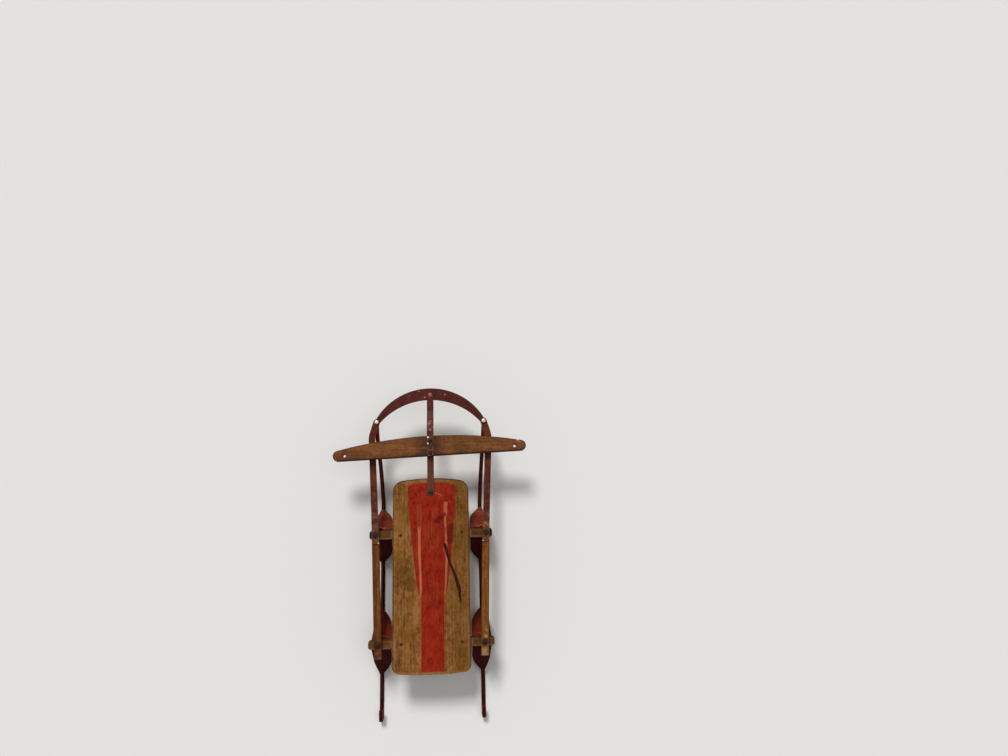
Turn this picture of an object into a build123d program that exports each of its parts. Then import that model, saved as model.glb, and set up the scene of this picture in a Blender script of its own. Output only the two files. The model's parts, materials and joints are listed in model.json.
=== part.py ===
from build123d import *
import os
from math import atan2, cos, degrees, radians, sin, tan

# A child's steering sled: a wide deck board on two crosspieces, pressed steel knees and
# T-section runners, with a wooden bar that pushes the front of the runners sideways.
# Millimetres. +X is the sled's right, +Y its bow, +Z up. Stations are measured along Y
# from the runners' tails, and everything is moved back by half the length at the end.

# Stations of the rear, from the runners' tails
overall_length = 920.0
deck_rear_y = 131.0
rail_rear_y = 175.5
rear_crosspiece_y = 212.0

# Stations of the front, back from the bow's tip
tip_to_crosspiece = 416.0
tip_to_rail = 376.5
tip_to_pivot = 301.0
tip_to_deck = 261.0
tip_to_bar = 186.0
tip_to_side_rivet = 97.5
tip_to_bow_rivet = 20.5

# Heights of the stack, from the floor up
knee_height = 86.0
crosspiece_thick = 19.0
deck_thick = 11.0
rail_thick = 14.0
bar_thick = 16.0
steel = 3.0
bow_bottom = 116.0
strap_rise = 3.5

# Gaps
slip = 0.3            # between flat pieces that slide over each other
running = 0.05        # radial, a bolt or rivet in the piece that turns on it
snug = 0.1            # radial, a bolt or rivet in a piece that stays on it
loose = 0.4           # radial, at the pivot where the linkage is opened

# Runners
runner_x = 142.0
tread_wide = 11.5
tread_thick = 3.2
web_thick = 3.0
runner_height = 20.0
tail_radius = 14.0
tail_reach = 35.0
web_start = 44.0
web_runout = 22.0
rise_angle = 45.0
crest_radius = 80.0
flare_long = 222.5    # from the side rivet back to where the runner turns outward
eye_radius = 8.0
eye_land = 16.5

# Knees: seen from above, each has a wide back and a narrow foot at each end. The back
# reaches further in, under the deck, than out past the rail.
knee_steel = 2.2
knee_inner = 31.0     # from the runner's middle inwards
knee_outer = 22.0     # and outwards, at the crosspiece
knee_shoulder = 17.0  # and outwards, where the feet begin to taper
knee_bend = 8.0
knee_rib_wide = 9.0
knee_rib_high = 2.0
knee_rib_edge = 1.4
foot_long = 20.0
foot_drop = 13.0
foot_gap = 0.1
leg_wide = 13.0
# half length over the feet, half length at full width, shoulder rounding
front_knee = (75.0, 52.0, 14.0)
rear_knee = (86.0, 60.0, 24.0)

# Wood
deck_wide = 213.0
deck_front_bulge = 11.0
deck_rear_bulge = 2.5
deck_front_corner = 30.0
deck_rear_corner = 10.0
board_edge = 2.5
crosspiece_long = 344.0
crosspiece_wide = 25.0
crosspiece_corner = 8.0
rail_wide = 20.5
rail_rear_x = 144.2
bar_long = 548.0
bar_back = 14.6       # from the line of the rope holes to the straight back edge
bar_front = 43.5      # and to the front edge at the middle
bar_end_wide = 31.0
bar_skew = 2.43       # the bar has worked askew on its bolts
bar_edge = 3.0
rope_hole_x = 241.0
rope_hole_radius = 4.3

# Steel strips of the steering
strip_wide = 19.0
strip_x = 154.0       # the front bolts and the side rivets lie on one line on each side
strip_lean = 2.75
strip_corner = 42.5   # from the side rivet back to the strip's bend
strip_bend = 70.0
strip_tail = 25.0
strip_joggle = 25.0
bend_radius = 6.0
bow_wide = 35.0
bow_outer_radius = 180.0
bow_inner_radius = 192.0
bow_end_radius = 8.6
front_strap_slope = 17.0
rear_strap_slope = 8.0
bar_bolts = (-5.5, 29.5)    # ahead of the line of the rope holes

# Bolts, nuts and rivets
bolt_radius = 3.1
nut_wide = 10.5
nut_corner = 1.3
nut_thick = 5.0
bar_nut_turns = (12.0, -20.0)
rail_nut_turns = {"front": 3.0, "rear": 25.0}
pivot_nut_turn = 18.0
bolt_proud = 2.5
carriage_radius = 7.0
carriage_high = 3.0
rivet_radius = 3.0
rivet_head_radius = 6.0
rivet_head_high = 2.6

# Stations and levels that follow
front_crosspiece_y = overall_length - tip_to_crosspiece
rail_front_y = overall_length - tip_to_rail
pivot_y = overall_length - tip_to_pivot
deck_front_y = overall_length - tip_to_deck
bar_y = overall_length - tip_to_bar
side_rivet_y = overall_length - tip_to_side_rivet
bow_rivet_y = overall_length - tip_to_bow_rivet
bar_bolt_ys = [bar_y + ahead for ahead in bar_bolts]
crosspiece_top = knee_height + crosspiece_thick
deck_top = crosspiece_top + deck_thick
rail_top = crosspiece_top + rail_thick
strip_on_rail = rail_top + slip
strip_at_bow = bow_bottom - slip - steel
eye_top = strip_at_bow - slip
strap_on_deck = deck_top + slip
bar_bottom = strap_on_deck + steel + strap_rise
bar_top = bar_bottom + bar_thick
bow_top = bow_bottom + steel
strap_on_bow = bow_top + slip

knee_rows = (("front", front_crosspiece_y, *front_knee), ("rear", rear_crosspiece_y, *rear_knee))

made = {}


def shifted(points, radii, shift):
    """The corners and bend radii of a line moved sideways, to its left."""
    moved, turned = [], []
    count = len(points)
    for index, (x, y) in enumerate(points):
        here = Vector(x, y)
        before = Vector(*points[max(index - 1, 0)])
        after = Vector(*points[min(index + 1, count - 1)])
        way_in = (here - before).normalized() if index > 0 else (after - here).normalized()
        way_out = (after - here).normalized() if index < count - 1 else way_in
        left_in = Vector(-way_in.Y, way_in.X)
        left_out = Vector(-way_out.Y, way_out.X)
        moved.append(here + (left_in + left_out) * (shift / (1 + left_in.dot(left_out))))
        if 0 < index < count - 1:
            side = 1 if way_in.cross(way_out).Z > 0 else -1
            turned.append(radii[index - 1] - side * shift)
    return moved, turned


def bent_line(points, radii):
    if len(points) == 2:
        return Line(*points)
    return FilletPolyline(*points, radius=list(radii))


def bent_strip(points, radii, near, far):
    """Face of a bent strip that lies from `near` to `far` to the left of its line."""
    near_line = bent_line(*shifted(points, radii, near))
    far_line = bent_line(*shifted(points, radii, far))
    caps = [Line(near_line @ 1, far_line @ 1), Line(far_line @ 0, near_line @ 0)]
    return make_face([*near_line.edges(), *far_line.edges(), *[cap.edge() for cap in caps]])


def side_solid(face, x, wide):
    """A side outline, drawn in Y and Z, made `wide` thick about the station x."""
    return extrude(Plane.YZ.offset(x) * face, wide / 2, both=True)


def plan_solid(face, bottom, top):
    """A plan outline, drawn in X and Y, made solid between two heights."""
    return extrude(Plane.XY.offset(bottom) * face, top - bottom)


def peg(x, y, radius, bottom, top):
    """An upright round pin, which also cuts the holes for pins."""
    return plan_solid(Pos(x, y) * Circle(radius), bottom, top)


def head(x, y, radius, high, seat, up=True):
    """A round low head on its seat, above it or below it."""
    return peg(x, y, radius, seat, seat + high) if up else peg(x, y, radius, seat - high, seat)


def nut(x, y, turn, bottom):
    """A square nut with its corners taken off, turned as it was left when tightened."""
    square = Rectangle(nut_wide, nut_wide)
    square = chamfer(square.vertices(), nut_corner)
    return plan_solid(Pos(x, y) * Rot(0, 0, turn) * square, bottom, bottom + nut_thick)


def eased(board, size):
    """A board with all round its top and bottom faces eased."""
    faces = board.faces().sort_by(Axis.Z)
    return chamfer([*faces[0].edges(), *faces[-1].edges()], size)


def keep(name, solid):
    made[name] = solid


def keep_pair(name, solid):
    """The right-hand piece and its mirror image on the left."""
    made[name + "_right"] = solid
    made[name + "_left"] = mirror(solid, Plane.YZ)


# The deck is one wide board with a bowed front edge and rounded corners
def deck_outline():
    half = deck_wide / 2
    front = deck_front_y - deck_front_bulge
    rear = deck_rear_y + deck_rear_bulge
    edges = [
        Line((-half, rear), (-half, front)),
        ThreePointArc((-half, front), (0, deck_front_y), (half, front)),
        Line((half, front), (half, rear)),
        ThreePointArc((half, rear), (0, deck_rear_y), (-half, rear)),
    ]
    face = make_face([edge.edge() for edge in edges])
    corners = face.vertices().sort_by(Axis.Y)
    face = fillet(corners[2:], deck_front_corner)
    return fillet(face.vertices().sort_by(Axis.Y)[:2], deck_rear_corner)


def add_deck():
    board = eased(plan_solid(deck_outline(), crosspiece_top, deck_top), board_edge)
    board -= peg(0, pivot_y, bolt_radius + snug, crosspiece_top, deck_top)
    keep("deck", board)


def rail_x(y):
    """Centre line of the right rail, which runs in a little towards the tail."""
    lean = (strip_x - rail_rear_x) / (front_crosspiece_y - rail_rear_y)
    return strip_x + lean * (y - front_crosspiece_y)


def add_crosspieces():
    for name, y in (("rear", rear_crosspiece_y), ("front", front_crosspiece_y)):
        outline = Pos(0, y) * RectangleRounded(crosspiece_long, crosspiece_wide, crosspiece_corner)
        board = plan_solid(outline, knee_height, crosspiece_top)
        board = eased(board, board_edge)
        for x in (-rail_x(y), rail_x(y)):
            board -= peg(x, y, bolt_radius + snug, knee_height, crosspiece_top)
        keep("crosspiece_" + name, board)


def add_rails():
    rear, front = rail_rear_y, rail_front_y
    line = Line((rail_x(rear), rear), (rail_x(front), front))
    long = line.length
    turn = degrees(atan2(front - rear, rail_x(front) - rail_x(rear)))
    middle = line @ 0.5
    rail = Pos(middle.X, middle.Y, crosspiece_top + rail_thick / 2) * Rot(0, 0, turn) * Box(
        long, rail_wide, rail_thick
    )
    rail = chamfer(rail.edges(), board_edge)
    for y in (rear_crosspiece_y, front_crosspiece_y):
        rail -= peg(rail_x(y), y, bolt_radius + snug, crosspiece_top, rail_top)
    keep_pair("rail", rail)


# A runner is a T-section on its back: a tread on the snow and an upright web, curled over
# at the tail, swept up at the bow and flattened to an eye under the steering strip
def add_runners():
    eye_y = side_rivet_y
    under = eye_top - tread_thick
    crest_y = eye_y - eye_land - crest_radius * tan(radians(rise_angle / 2))
    foot_y = crest_y - under / tan(radians(rise_angle))
    # The sweep starts where the front knee's front foot ends
    sweep_start = max(y + half_long for _, y, half_long, _, _ in knee_rows)
    rise_radius = (foot_y - sweep_start) / tan(radians(rise_angle / 2))
    front = [(foot_y, 0), (crest_y, under), (eye_y, under)]
    tail_top = 2 * tail_radius
    curl = tail_radius - 0.05
    tread_line = [(tail_reach, tail_top), (0, tail_top), (0, 0), *front]
    tread_face = bent_strip(tread_line, [curl, curl, rise_radius, crest_radius], 0, tread_thick)
    web_face = bent_strip([(web_start, 0), *front], [rise_radius, crest_radius], 0, runner_height)

    def rise_point(along, above):
        angle = radians(rise_angle)
        return (
            foot_y + along * cos(angle) - above * sin(angle),
            along * sin(angle) + above * cos(angle),
        )

    web_top = rise_radius * tan(radians(rise_angle / 2)) + tread_thick
    web_end = web_top + web_runout
    trim = Polygon(
        (web_start, -1),
        (web_start, tread_thick / 2),
        (web_start + web_runout, runner_height + 1),
        rise_point(web_top, runner_height + 1),
        rise_point(web_end, tread_thick / 2),
        (rise_point(web_end, tread_thick / 2)[0], -1),
        align=None,
    )
    straight = side_solid(tread_face, 0, tread_wide) + side_solid(web_face & trim, 0, web_thick)
    flare_y = eye_y - flare_long
    flare = degrees(atan2(strip_x - runner_x, flare_long))
    mitre = Pos(runner_x, flare_y, 0) * Rot(0, 0, -flare / 2)
    reach = Box(overall_length, overall_length, overall_length)
    behind = mitre * Pos(0, -overall_length / 2, 0) * reach
    ahead = mitre * Pos(0, overall_length / 2, 0) * reach
    rear_part = Pos(runner_x, 0, 0) * straight & behind
    stretch = (strip_x - runner_x) / sin(radians(flare)) - flare_long
    turned = Pos(runner_x, flare_y, 0) * Rot(0, 0, -flare) * Pos(0, stretch - flare_y, 0) * straight
    front_part = turned & ahead
    runner = rear_part + front_part + peg(strip_x, eye_y, eye_radius, under, eye_top)
    keep_pair("runner", runner)


# A knee is one bent strap of pressed steel: a flat back under the crosspiece, two legs
# with a rib down the middle, and feet that straddle the runner's web
def add_knees():
    for name, y, half_long, half_full, rounding in knee_rows:
        knee = knee_solid(half_long, half_full, rounding)
        knee = Pos(runner_x, y, 0) * knee
        knee -= peg(rail_x(y), y, bolt_radius + snug, 0, crosspiece_top)
        keep_pair("knee_" + name, knee)


def knee_solid(half_long, half_full, rounding):
    top = knee_height
    foot_top = runner_height + knee_steel
    corner = crosspiece_wide / 2 + knee_bend / 2
    leg_end = half_long - foot_long / 2
    line = [(-leg_end, foot_top), (-corner, top), (corner, top), (leg_end, foot_top)]
    bends = [knee_bend, knee_bend]
    knee_wide = 2 * knee_inner
    arch = side_solid(bent_strip(line, bends, -knee_steel, 0), 0, knee_wide)
    rib = side_solid(bent_strip(line, bends, -knee_steel, knee_rib_high), 0, knee_rib_wide)
    for end in (0, -1):
        rims = rib.edges().filter_by(Axis.X, reverse=True).group_by(Axis.X)[end]
        rib = chamfer(rims, knee_rib_edge)
    hollow = bent_strip(line, bends, -2 * knee_steel, knee_rib_high - knee_steel)
    groove = side_solid(hollow, 0, knee_rib_wide - 2 * knee_steel)
    # The rib is flattened where the crosspiece sits
    seat = Pos(0, 0, top + knee_rib_high) * Box(knee_wide, crosspiece_wide + 2 * snug, 2 * knee_rib_high)
    blank = arch + rib - seat - groove
    outline = Polygon(
        (-knee_inner, -half_full),
        (-leg_wide / 2, -half_long),
        (leg_wide / 2, -half_long),
        (knee_shoulder, -half_full),
        (knee_outer, -corner),
        (knee_outer, corner),
        (knee_shoulder, half_full),
        (leg_wide / 2, half_long),
        (-leg_wide / 2, half_long),
        (-knee_inner, half_full),
        align=None,
    )
    rows = outline.vertices().group_by(Axis.Y)
    knee = blank & plan_solid(fillet(rows[1] + rows[-2], rounding), 0, top + knee_rib_high)
    standing = (Align.CENTER, Align.CENTER, Align.MIN)
    slot_wide = web_thick + 2 * foot_gap
    foot_low = runner_height - foot_drop
    foot = Box(slot_wide + 2 * knee_steel, foot_long, foot_top - foot_low, align=standing)
    foot = chamfer(foot.edges().filter_by(Axis.X), knee_steel)
    for side in (-1, 1):
        knee += Pos(0, side * (half_long - foot_long / 2), foot_low) * foot
    return knee - Box(slot_wide, 3 * half_long, runner_height, align=standing)


# The bow is a flat crescent of plate
def add_bow():
    outer_centre = overall_length - bow_outer_radius
    inner_centre = overall_length - bow_wide - bow_inner_radius
    crescent = Pos(0, outer_centre) * Circle(bow_outer_radius)
    crescent -= Pos(0, inner_centre) * Circle(bow_inner_radius)
    # Cut square across each end, through the side rivets
    end_rise = side_rivet_y - outer_centre
    slope = (end_rise + bow_end_radius) / strip_x
    apex = side_rivet_y - slope * strip_x
    wedge = Polygon(
        (0, apex), (overall_length, apex + slope * overall_length),
        (-overall_length, apex + slope * overall_length), align=None,
    )
    plate = crescent & wedge
    for x in (-strip_x, strip_x):
        plate += Pos(x, side_rivet_y) * Circle(bow_end_radius)
    bow = plan_solid(plate, bow_bottom, bow_top)
    bow -= peg(-strip_x, side_rivet_y, rivet_radius + running, bow_bottom, bow_top)
    bow -= peg(strip_x, side_rivet_y, rivet_radius + 3 * running, bow_bottom, bow_top)
    bow -= peg(0, bow_rivet_y, rivet_radius + loose, bow_bottom, bow_top)
    keep("bow", bow)


# A side strip lies on the rail's front end, steps down ahead of it and runs to the bow
def add_side_strips():
    drop = strip_on_rail - strip_at_bow
    step_y = rail_front_y + 4 * running + bend_radius
    step_end = step_y + drop / tan(radians(strip_joggle))
    line = [
        (front_crosspiece_y - strip_tail, strip_on_rail),
        (step_y, strip_on_rail),
        (step_end, strip_at_bow),
        (overall_length, strip_at_bow),
    ]
    side = side_solid(bent_strip(line, [bend_radius] * 2, 0, steel), strip_x, 4 * strip_wide)
    lean = tan(radians(strip_lean))
    corner_y = side_rivet_y - strip_corner
    corner = (strip_x + lean * (corner_y - front_crosspiece_y), corner_y)
    rear = (strip_x - lean * strip_tail, front_crosspiece_y - strip_tail)
    plan_line = [rear, corner, (strip_x, side_rivet_y)]
    plan = bent_strip(plan_line, [strip_bend], -strip_wide / 2, strip_wide / 2)
    plan = fillet(plan.vertices().sort_by(Axis.Y)[:2], steel)
    plan += Pos(strip_x, side_rivet_y) * Circle(strip_wide / 2)
    strip = side & plan_solid(plan, 0, 2 * bow_top)
    strip -= peg(strip_x, front_crosspiece_y, bolt_radius + running, 0, 2 * bow_top)
    strip -= peg(strip_x, side_rivet_y, rivet_radius + snug, 0, 2 * bow_top)
    keep_pair("strip", strip)
    pin = peg(strip_x, side_rivet_y, rivet_radius, strip_at_bow, bow_top + slip)
    pin += head(strip_x, side_rivet_y, rivet_head_radius, rivet_head_high, bow_top + slip)
    keep_pair("side_rivet", pin)


def stepped_strap(rear_y, front_y, rear_z, front_z, slope, middle_y):
    """Side outline of a flat strap that changes level once, about the station middle_y."""
    run = abs(front_z - rear_z) / tan(radians(slope)) / 2
    line = [(rear_y, rear_z), (middle_y - run, rear_z), (middle_y + run, front_z), (front_y, front_z)]
    return bent_strip(line, [2 * bend_radius] * 2, 0, steel)


def round_ended(rear_y, front_y):
    """Plan outline of a strap on the centre line, with round ends about its end holes."""
    middle = (rear_y + front_y) / 2
    return Pos(0, middle) * Rot(0, 0, 90) * SlotCenterToCenter(front_y - rear_y, strip_wide)


# The steering lever: two straps clamp the wooden bar, one under it and one over it
def add_lever():
    half = strip_wide / 2
    rear_bolt_y, front_bolt_y = bar_bolt_ys
    deck_edge = (deck_front_y + bar_y - bar_back) / 2
    ends = (pivot_y - half, front_bolt_y + half)
    face = stepped_strap(*ends, strap_on_deck, bar_bottom - steel, rear_strap_slope, deck_edge)
    plan = round_ended(pivot_y, front_bolt_y)
    low = side_solid(face, 0, strip_wide) & plan_solid(plan, 0, 2 * bar_top)
    low -= peg(0, pivot_y, bolt_radius + running, 0, 2 * bar_top)
    ends = (rear_bolt_y - half, bow_rivet_y + half)
    slope_y = (bar_y + bar_front + overall_length - bow_wide) / 2 - half
    face = stepped_strap(*ends, bar_top, strap_on_bow, front_strap_slope, slope_y)
    plan = round_ended(rear_bolt_y, bow_rivet_y)
    high = side_solid(face, 0, strip_wide) & plan_solid(plan, 0, 2 * bar_top)
    high -= peg(0, bow_rivet_y, rivet_radius + snug, 0, 2 * bar_top)
    bar = steering_bar()
    bolts = []
    for y, turn in zip(bar_bolt_ys, bar_nut_turns):
        hole = peg(0, y, bolt_radius + snug, 0, 2 * bar_top)
        low, high, bar = low - hole, high - hole, bar - hole
        nut_seat = bar_top + steel
        bolt = peg(0, y, bolt_radius, bar_bottom - steel, nut_seat + nut_thick + bolt_proud)
        bolt += nut(0, y, turn, nut_seat)
        bolts.append(bolt + head(0, y, carriage_radius, carriage_high, bar_bottom - steel, up=False))
    keep("rear_strap", low)
    keep("front_strap", high)
    keep("steering_bar", bar)
    keep("bar_bolts", Part() + bolts)
    pin = peg(0, bow_rivet_y, rivet_radius, bow_bottom - slip, strap_on_bow + steel)
    pin += head(0, bow_rivet_y, rivet_head_radius, rivet_head_high, strap_on_bow + steel)
    pin += head(0, bow_rivet_y, rivet_head_radius, rivet_head_high, bow_bottom - slip, up=False)
    keep("bow_rivet", pin)


def steering_bar():
    """The bar, straight behind and bowed in front, between round ends that the bow touches."""
    end_radius = bar_end_wide / 2
    end_x = bar_long / 2 - end_radius
    end_y = end_radius - bar_back
    drop = bar_front - end_y
    front_radius = (end_x**2 + drop**2 - end_radius**2) / (2 * (drop - end_radius))
    reach = front_radius / (front_radius - end_radius)
    touch_x = end_x * reach
    touch_y = bar_front - front_radius + (front_radius - drop) * reach
    edges = [
        Line((-end_x, -bar_back), (end_x, -bar_back)),
        ThreePointArc((end_x, -bar_back), (bar_long / 2, end_y), (touch_x, touch_y)),
        ThreePointArc((touch_x, touch_y), (0, bar_front), (-touch_x, touch_y)),
        ThreePointArc((-touch_x, touch_y), (-bar_long / 2, end_y), (-end_x, -bar_back)),
    ]
    outline = make_face([edge.edge() for edge in edges])
    bar = eased(plan_solid(outline, bar_bottom, bar_top), bar_edge)
    for x in (-rope_hole_x, rope_hole_x):
        bar -= peg(x, 0, rope_hole_radius, bar_bottom, bar_top)
    return Pos(0, bar_y, 0) * Rot(0, 0, bar_skew) * bar


# Bolts through rail, crosspiece and knee. The front pair carry the side strips too.
def add_bolts():
    under_knee = knee_height - knee_steel
    for name, y, seat in (
        ("rear", rear_crosspiece_y, rail_top),
        ("front", front_crosspiece_y, strip_on_rail + steel + slip),
    ):
        x = rail_x(y)
        bolt = peg(x, y, bolt_radius, under_knee, seat + nut_thick + bolt_proud)
        bolt += nut(x, y, rail_nut_turns[name], seat)
        bolt += head(x, y, carriage_radius, carriage_high, under_knee, up=False)
        keep_pair("bolt_" + name, bolt)
    seat = strap_on_deck + steel + slip
    bolt = peg(0, pivot_y, bolt_radius, crosspiece_top, seat)
    bolt += head(0, pivot_y, carriage_radius, carriage_high, seat)
    bolt += nut(0, pivot_y, pivot_nut_turn, crosspiece_top - nut_thick)
    keep("pivot_bolt", bolt)


add_deck()
add_crosspieces()
add_rails()
add_runners()
add_knees()
add_bow()
add_side_strips()
add_lever()
add_bolts()

os.makedirs("parts", exist_ok=True)
to_middle = Pos(0, -overall_length / 2, 0)
for node, solid in made.items():
    export_step(to_middle * solid, f"parts/{node}.step")
    print(node, round(sum(s.volume for s in solid.solids()) / 1000, 2), "cm3")
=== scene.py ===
import json
import math

import bmesh
import bpy
import numpy as np
from mathutils import Matrix, Vector, noise

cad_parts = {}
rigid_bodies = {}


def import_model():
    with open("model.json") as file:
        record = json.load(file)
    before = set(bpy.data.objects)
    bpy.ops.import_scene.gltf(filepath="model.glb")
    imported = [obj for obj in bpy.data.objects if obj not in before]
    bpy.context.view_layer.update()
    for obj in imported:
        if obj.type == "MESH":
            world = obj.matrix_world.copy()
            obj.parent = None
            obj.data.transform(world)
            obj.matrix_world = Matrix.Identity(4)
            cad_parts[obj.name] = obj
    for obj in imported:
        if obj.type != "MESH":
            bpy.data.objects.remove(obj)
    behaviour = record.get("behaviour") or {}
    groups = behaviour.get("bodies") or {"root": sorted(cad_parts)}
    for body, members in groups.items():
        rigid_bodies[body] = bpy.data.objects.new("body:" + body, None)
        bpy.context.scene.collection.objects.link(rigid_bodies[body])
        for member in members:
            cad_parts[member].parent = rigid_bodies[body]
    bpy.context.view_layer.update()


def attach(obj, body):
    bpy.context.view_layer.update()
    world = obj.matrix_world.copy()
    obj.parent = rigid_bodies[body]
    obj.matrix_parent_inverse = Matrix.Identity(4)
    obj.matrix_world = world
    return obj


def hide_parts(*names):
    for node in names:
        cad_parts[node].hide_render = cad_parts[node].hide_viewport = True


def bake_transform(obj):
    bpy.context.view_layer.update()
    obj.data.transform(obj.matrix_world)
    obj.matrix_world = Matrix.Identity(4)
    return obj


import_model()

# A wooden steering sled, dressed for a still. Metres, +X the sled's right, +Y its bow, +Z up.
# Values in the dictionaries are in millimetres, colours as they look on a screen, 0 to 255.
# Stations along the sled are measured from the middle of its length.
mm = 0.001


def addObject(name, data):
    made = bpy.data.objects.new(name, data)
    bpy.context.scene.collection.objects.link(made)
    return made


# ---- helpers for nodes ----


def srgb(*color):
    return (*[v / 255 / 12.92 if v / 255 <= 0.04045 else ((v / 255 + 0.055) / 1.055) ** 2.4 for v in color], 1)


class Wire:
    # What comes out of a node. A sign between wires and numbers adds one Math node
    def __init__(self, hand, node, key=0):
        self.hand, self.node, self.key = hand, node, key

    def __getitem__(self, key):  # another output of the same node
        return Wire(self.hand, self.node, key)

    def __add__(self, other):
        return self.hand.math("ADD", self, other)

    def __sub__(self, other):
        return self.hand.math("SUBTRACT", self, other)

    def __rsub__(self, other):
        return self.hand.math("SUBTRACT", other, self)

    def __mul__(self, other):
        return self.hand.math("MULTIPLY", self, other)

    def __or__(self, other):  # the larger one: either mask will do
        return self.hand.math("MAXIMUM", self, other)

    def __abs__(self):
        return self.hand.math("ABSOLUTE", self)

    def ramp(self, low, high, outLow=0.0, outHigh=1.0, kind="SMOOTHSTEP"):
        # Climbs from low to high, or falls where low is given as the larger one
        return self.hand.add("ShaderNodeMapRange", {"Value": self, "From Min": low, "From Max": high,
                                                    "To Min": outLow, "To Max": outHigh}, "Result",
                             interpolation_type=kind)

    def band(self, low, high, soft):  # 1 between low and high
        return self.ramp(low - soft, low + soft) * self.ramp(high + soft, high - soft)

    def track(self, steps):
        # Runs straight from step to step, each (place, value) in millimetres
        places, heights = np.array(steps).T * mm
        low, span = heights.min(), np.ptp(heights)
        share = self.ramp(places[0], places[-1], kind="LINEAR")
        made = self.hand.add("ShaderNodeFloatCurve", {"Value": share}, "Value")
        points = made.node.mapping.curves[0].points
        while len(points) < len(steps):
            points.new(0.5, 0.5)
        for point, at, height in zip(points, places, heights):
            point.location = ((at - places[0]) / (places[-1] - places[0]), (height - low) / span)
            point.handle_type = "VECTOR"
        made.node.mapping.update()
        return made * span + low


class Hand:
    # Short words for wiring a tree. place is the vector that its textures read
    def __init__(self, tree):
        self.tree, self.place = tree, None

    def put(self, value, socket):
        if isinstance(value, Wire):
            self.tree.links.new(value.node.outputs[value.key], socket)
        else:
            screen = socket.type == "RGBA" and len(value) == 3
            socket.default_value = srgb(*value) if screen else value

    def add(self, kind, given={}, out=0, **settings):
        node = self.tree.nodes.new(kind)
        for name, value in settings.items():
            setattr(node, name, value)
        for key, value in given.items():
            self.put(value, node.inputs[key])
        return Wire(self, node, out)

    def math(self, operation, *values):
        return self.add("ShaderNodeMath", dict(enumerate(values)), operation=operation)

    def mix(self, share, a, b):
        return self.add("ShaderNodeMix", {0: share, 6: a, 7: b}, 2, data_type="RGBA")

    def stretch(self, scale, shift=(0, 0, 0), turn=0.0):
        return self.add("ShaderNodeMapping", {"Vector": self.place, "Location": shift, "Rotation": (0, 0, turn),
                                              "Scale": scale})

    def noise(self, scale, detail=3.0, rough=0.55, distortion=0.0, shift=(0, 0, 0)):
        # scale is one number, or one for each axis
        vector = self.place
        if isinstance(scale, tuple):
            vector, scale = self.stretch(scale, shift), 1.0
        return self.add("ShaderNodeTexNoise", {"Vector": vector, "Scale": scale, "Detail": detail,
                                               "Roughness": rough, "Distortion": distortion})

    def cells(self, scale):
        return self.add("ShaderNodeTexVoronoi", {"Vector": self.place, "Scale": scale}, "Distance")

    def distance(self, vector, spot=(0, 0, 0)):
        return self.add("ShaderNodeVectorMath", {0: vector, 1: spot}, "Value", operation="DISTANCE")


def startGroup(name, inputs, outputs, kind="ShaderNodeTree"):
    tree = bpy.data.node_groups.new(name, kind)
    for way, sockets in (("INPUT", inputs), ("OUTPUT", outputs)):
        for label, socketKind in sockets.items():
            tree.interface.new_socket(label, in_out=way, socket_type="NodeSocket" + socketKind)
    hand = Hand(tree)
    given = hand.add("NodeGroupInput")
    hand.place = given["Vector"]
    return hand, given


# ---- camera, lamps and floor ----

cameraValues = {
    "lens": 27.04,
    "place": (0.0564, -0.0228, 2.2876),
    "right": (0.9973, -0.0280, 0.0674),
    "back": (-0.0720, -0.2288, 0.9708),
}


def makeCamera(values):
    data = bpy.data.cameras.new("camera")
    data.lens, data.sensor_width = values["lens"], 36
    data.clip_start, data.clip_end = 0.02, 60
    camera = addObject("camera", data)
    back, right = Vector(values["back"]).normalized(), Vector(values["right"])
    right = (right - back * right.dot(back)).normalized()
    turn = Matrix((right, back.cross(right), back)).transposed().to_4x4()
    camera.matrix_world = Matrix.Translation(values["place"]) @ turn
    bpy.context.scene.camera = camera


stageValues = {
    "floorSize": 30.0,  # metres
    "floorColor": (0.80, 0.79, 0.765, 1),
    "floorDrop": 0.0002,
    "worldColor": (0.93, 0.93, 0.92, 1),
    "worldLight": 0.33,
    "worldSeen": 0.95,
    # name, direction that it shines from, width in degrees, strength
    "lamps": [("lampKey", (-0.28, 0.84, 1.0), 16, 2.25), ("lampTop", (0.30, -0.02, 1.0), 40, 0.36)],
}


def makeStage(values):
    size = values["floorSize"]
    mesh = bpy.data.meshes.new("floor")
    mesh.from_pydata([(-size, -size, 0), (size, -size, 0), (size, size, 0), (-size, size, 0)], [], [(0, 1, 2, 3)])
    floor = addObject("floor", mesh)
    floor.location.z = -values["floorDrop"]
    material = bpy.data.materials.new("floorPale")
    material.use_nodes = True
    shader = material.node_tree.nodes["Principled BSDF"]
    shader.inputs["Base Color"].default_value = values["floorColor"]
    shader.inputs["Roughness"].default_value = 0.85
    shader.inputs["Specular IOR Level"].default_value = 0.2
    mesh.materials.append(material)

    for name, place, wide, power in values["lamps"]:
        data = bpy.data.lights.new(name, "SUN")
        data.angle, data.energy = math.radians(wide), power
        lamp = addObject(name, data)
        lamp.location = place
        lamp.rotation_euler = (-Vector(place)).to_track_quat("-Z", "Y").to_euler()

    world = bpy.data.worlds.new("studio")
    bpy.context.scene.world = world
    world.use_nodes = True
    world.node_tree.nodes.clear()
    hand = Hand(world.node_tree)
    path = hand.add("ShaderNodeLightPath")
    seen = path["Is Camera Ray"] | path["Is Glossy Ray"] | path["Is Transmission Ray"]
    dim, bright = (hand.add("ShaderNodeBackground", {"Color": values["worldColor"], "Strength": values[power]})
                   for power in ("worldLight", "worldSeen"))
    hand.add("ShaderNodeOutputWorld", {"Surface": hand.add("ShaderNodeMixShader", {0: seen, 1: dim, 2: bright})})
    bpy.context.scene.view_settings.view_transform = "Standard"


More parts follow.
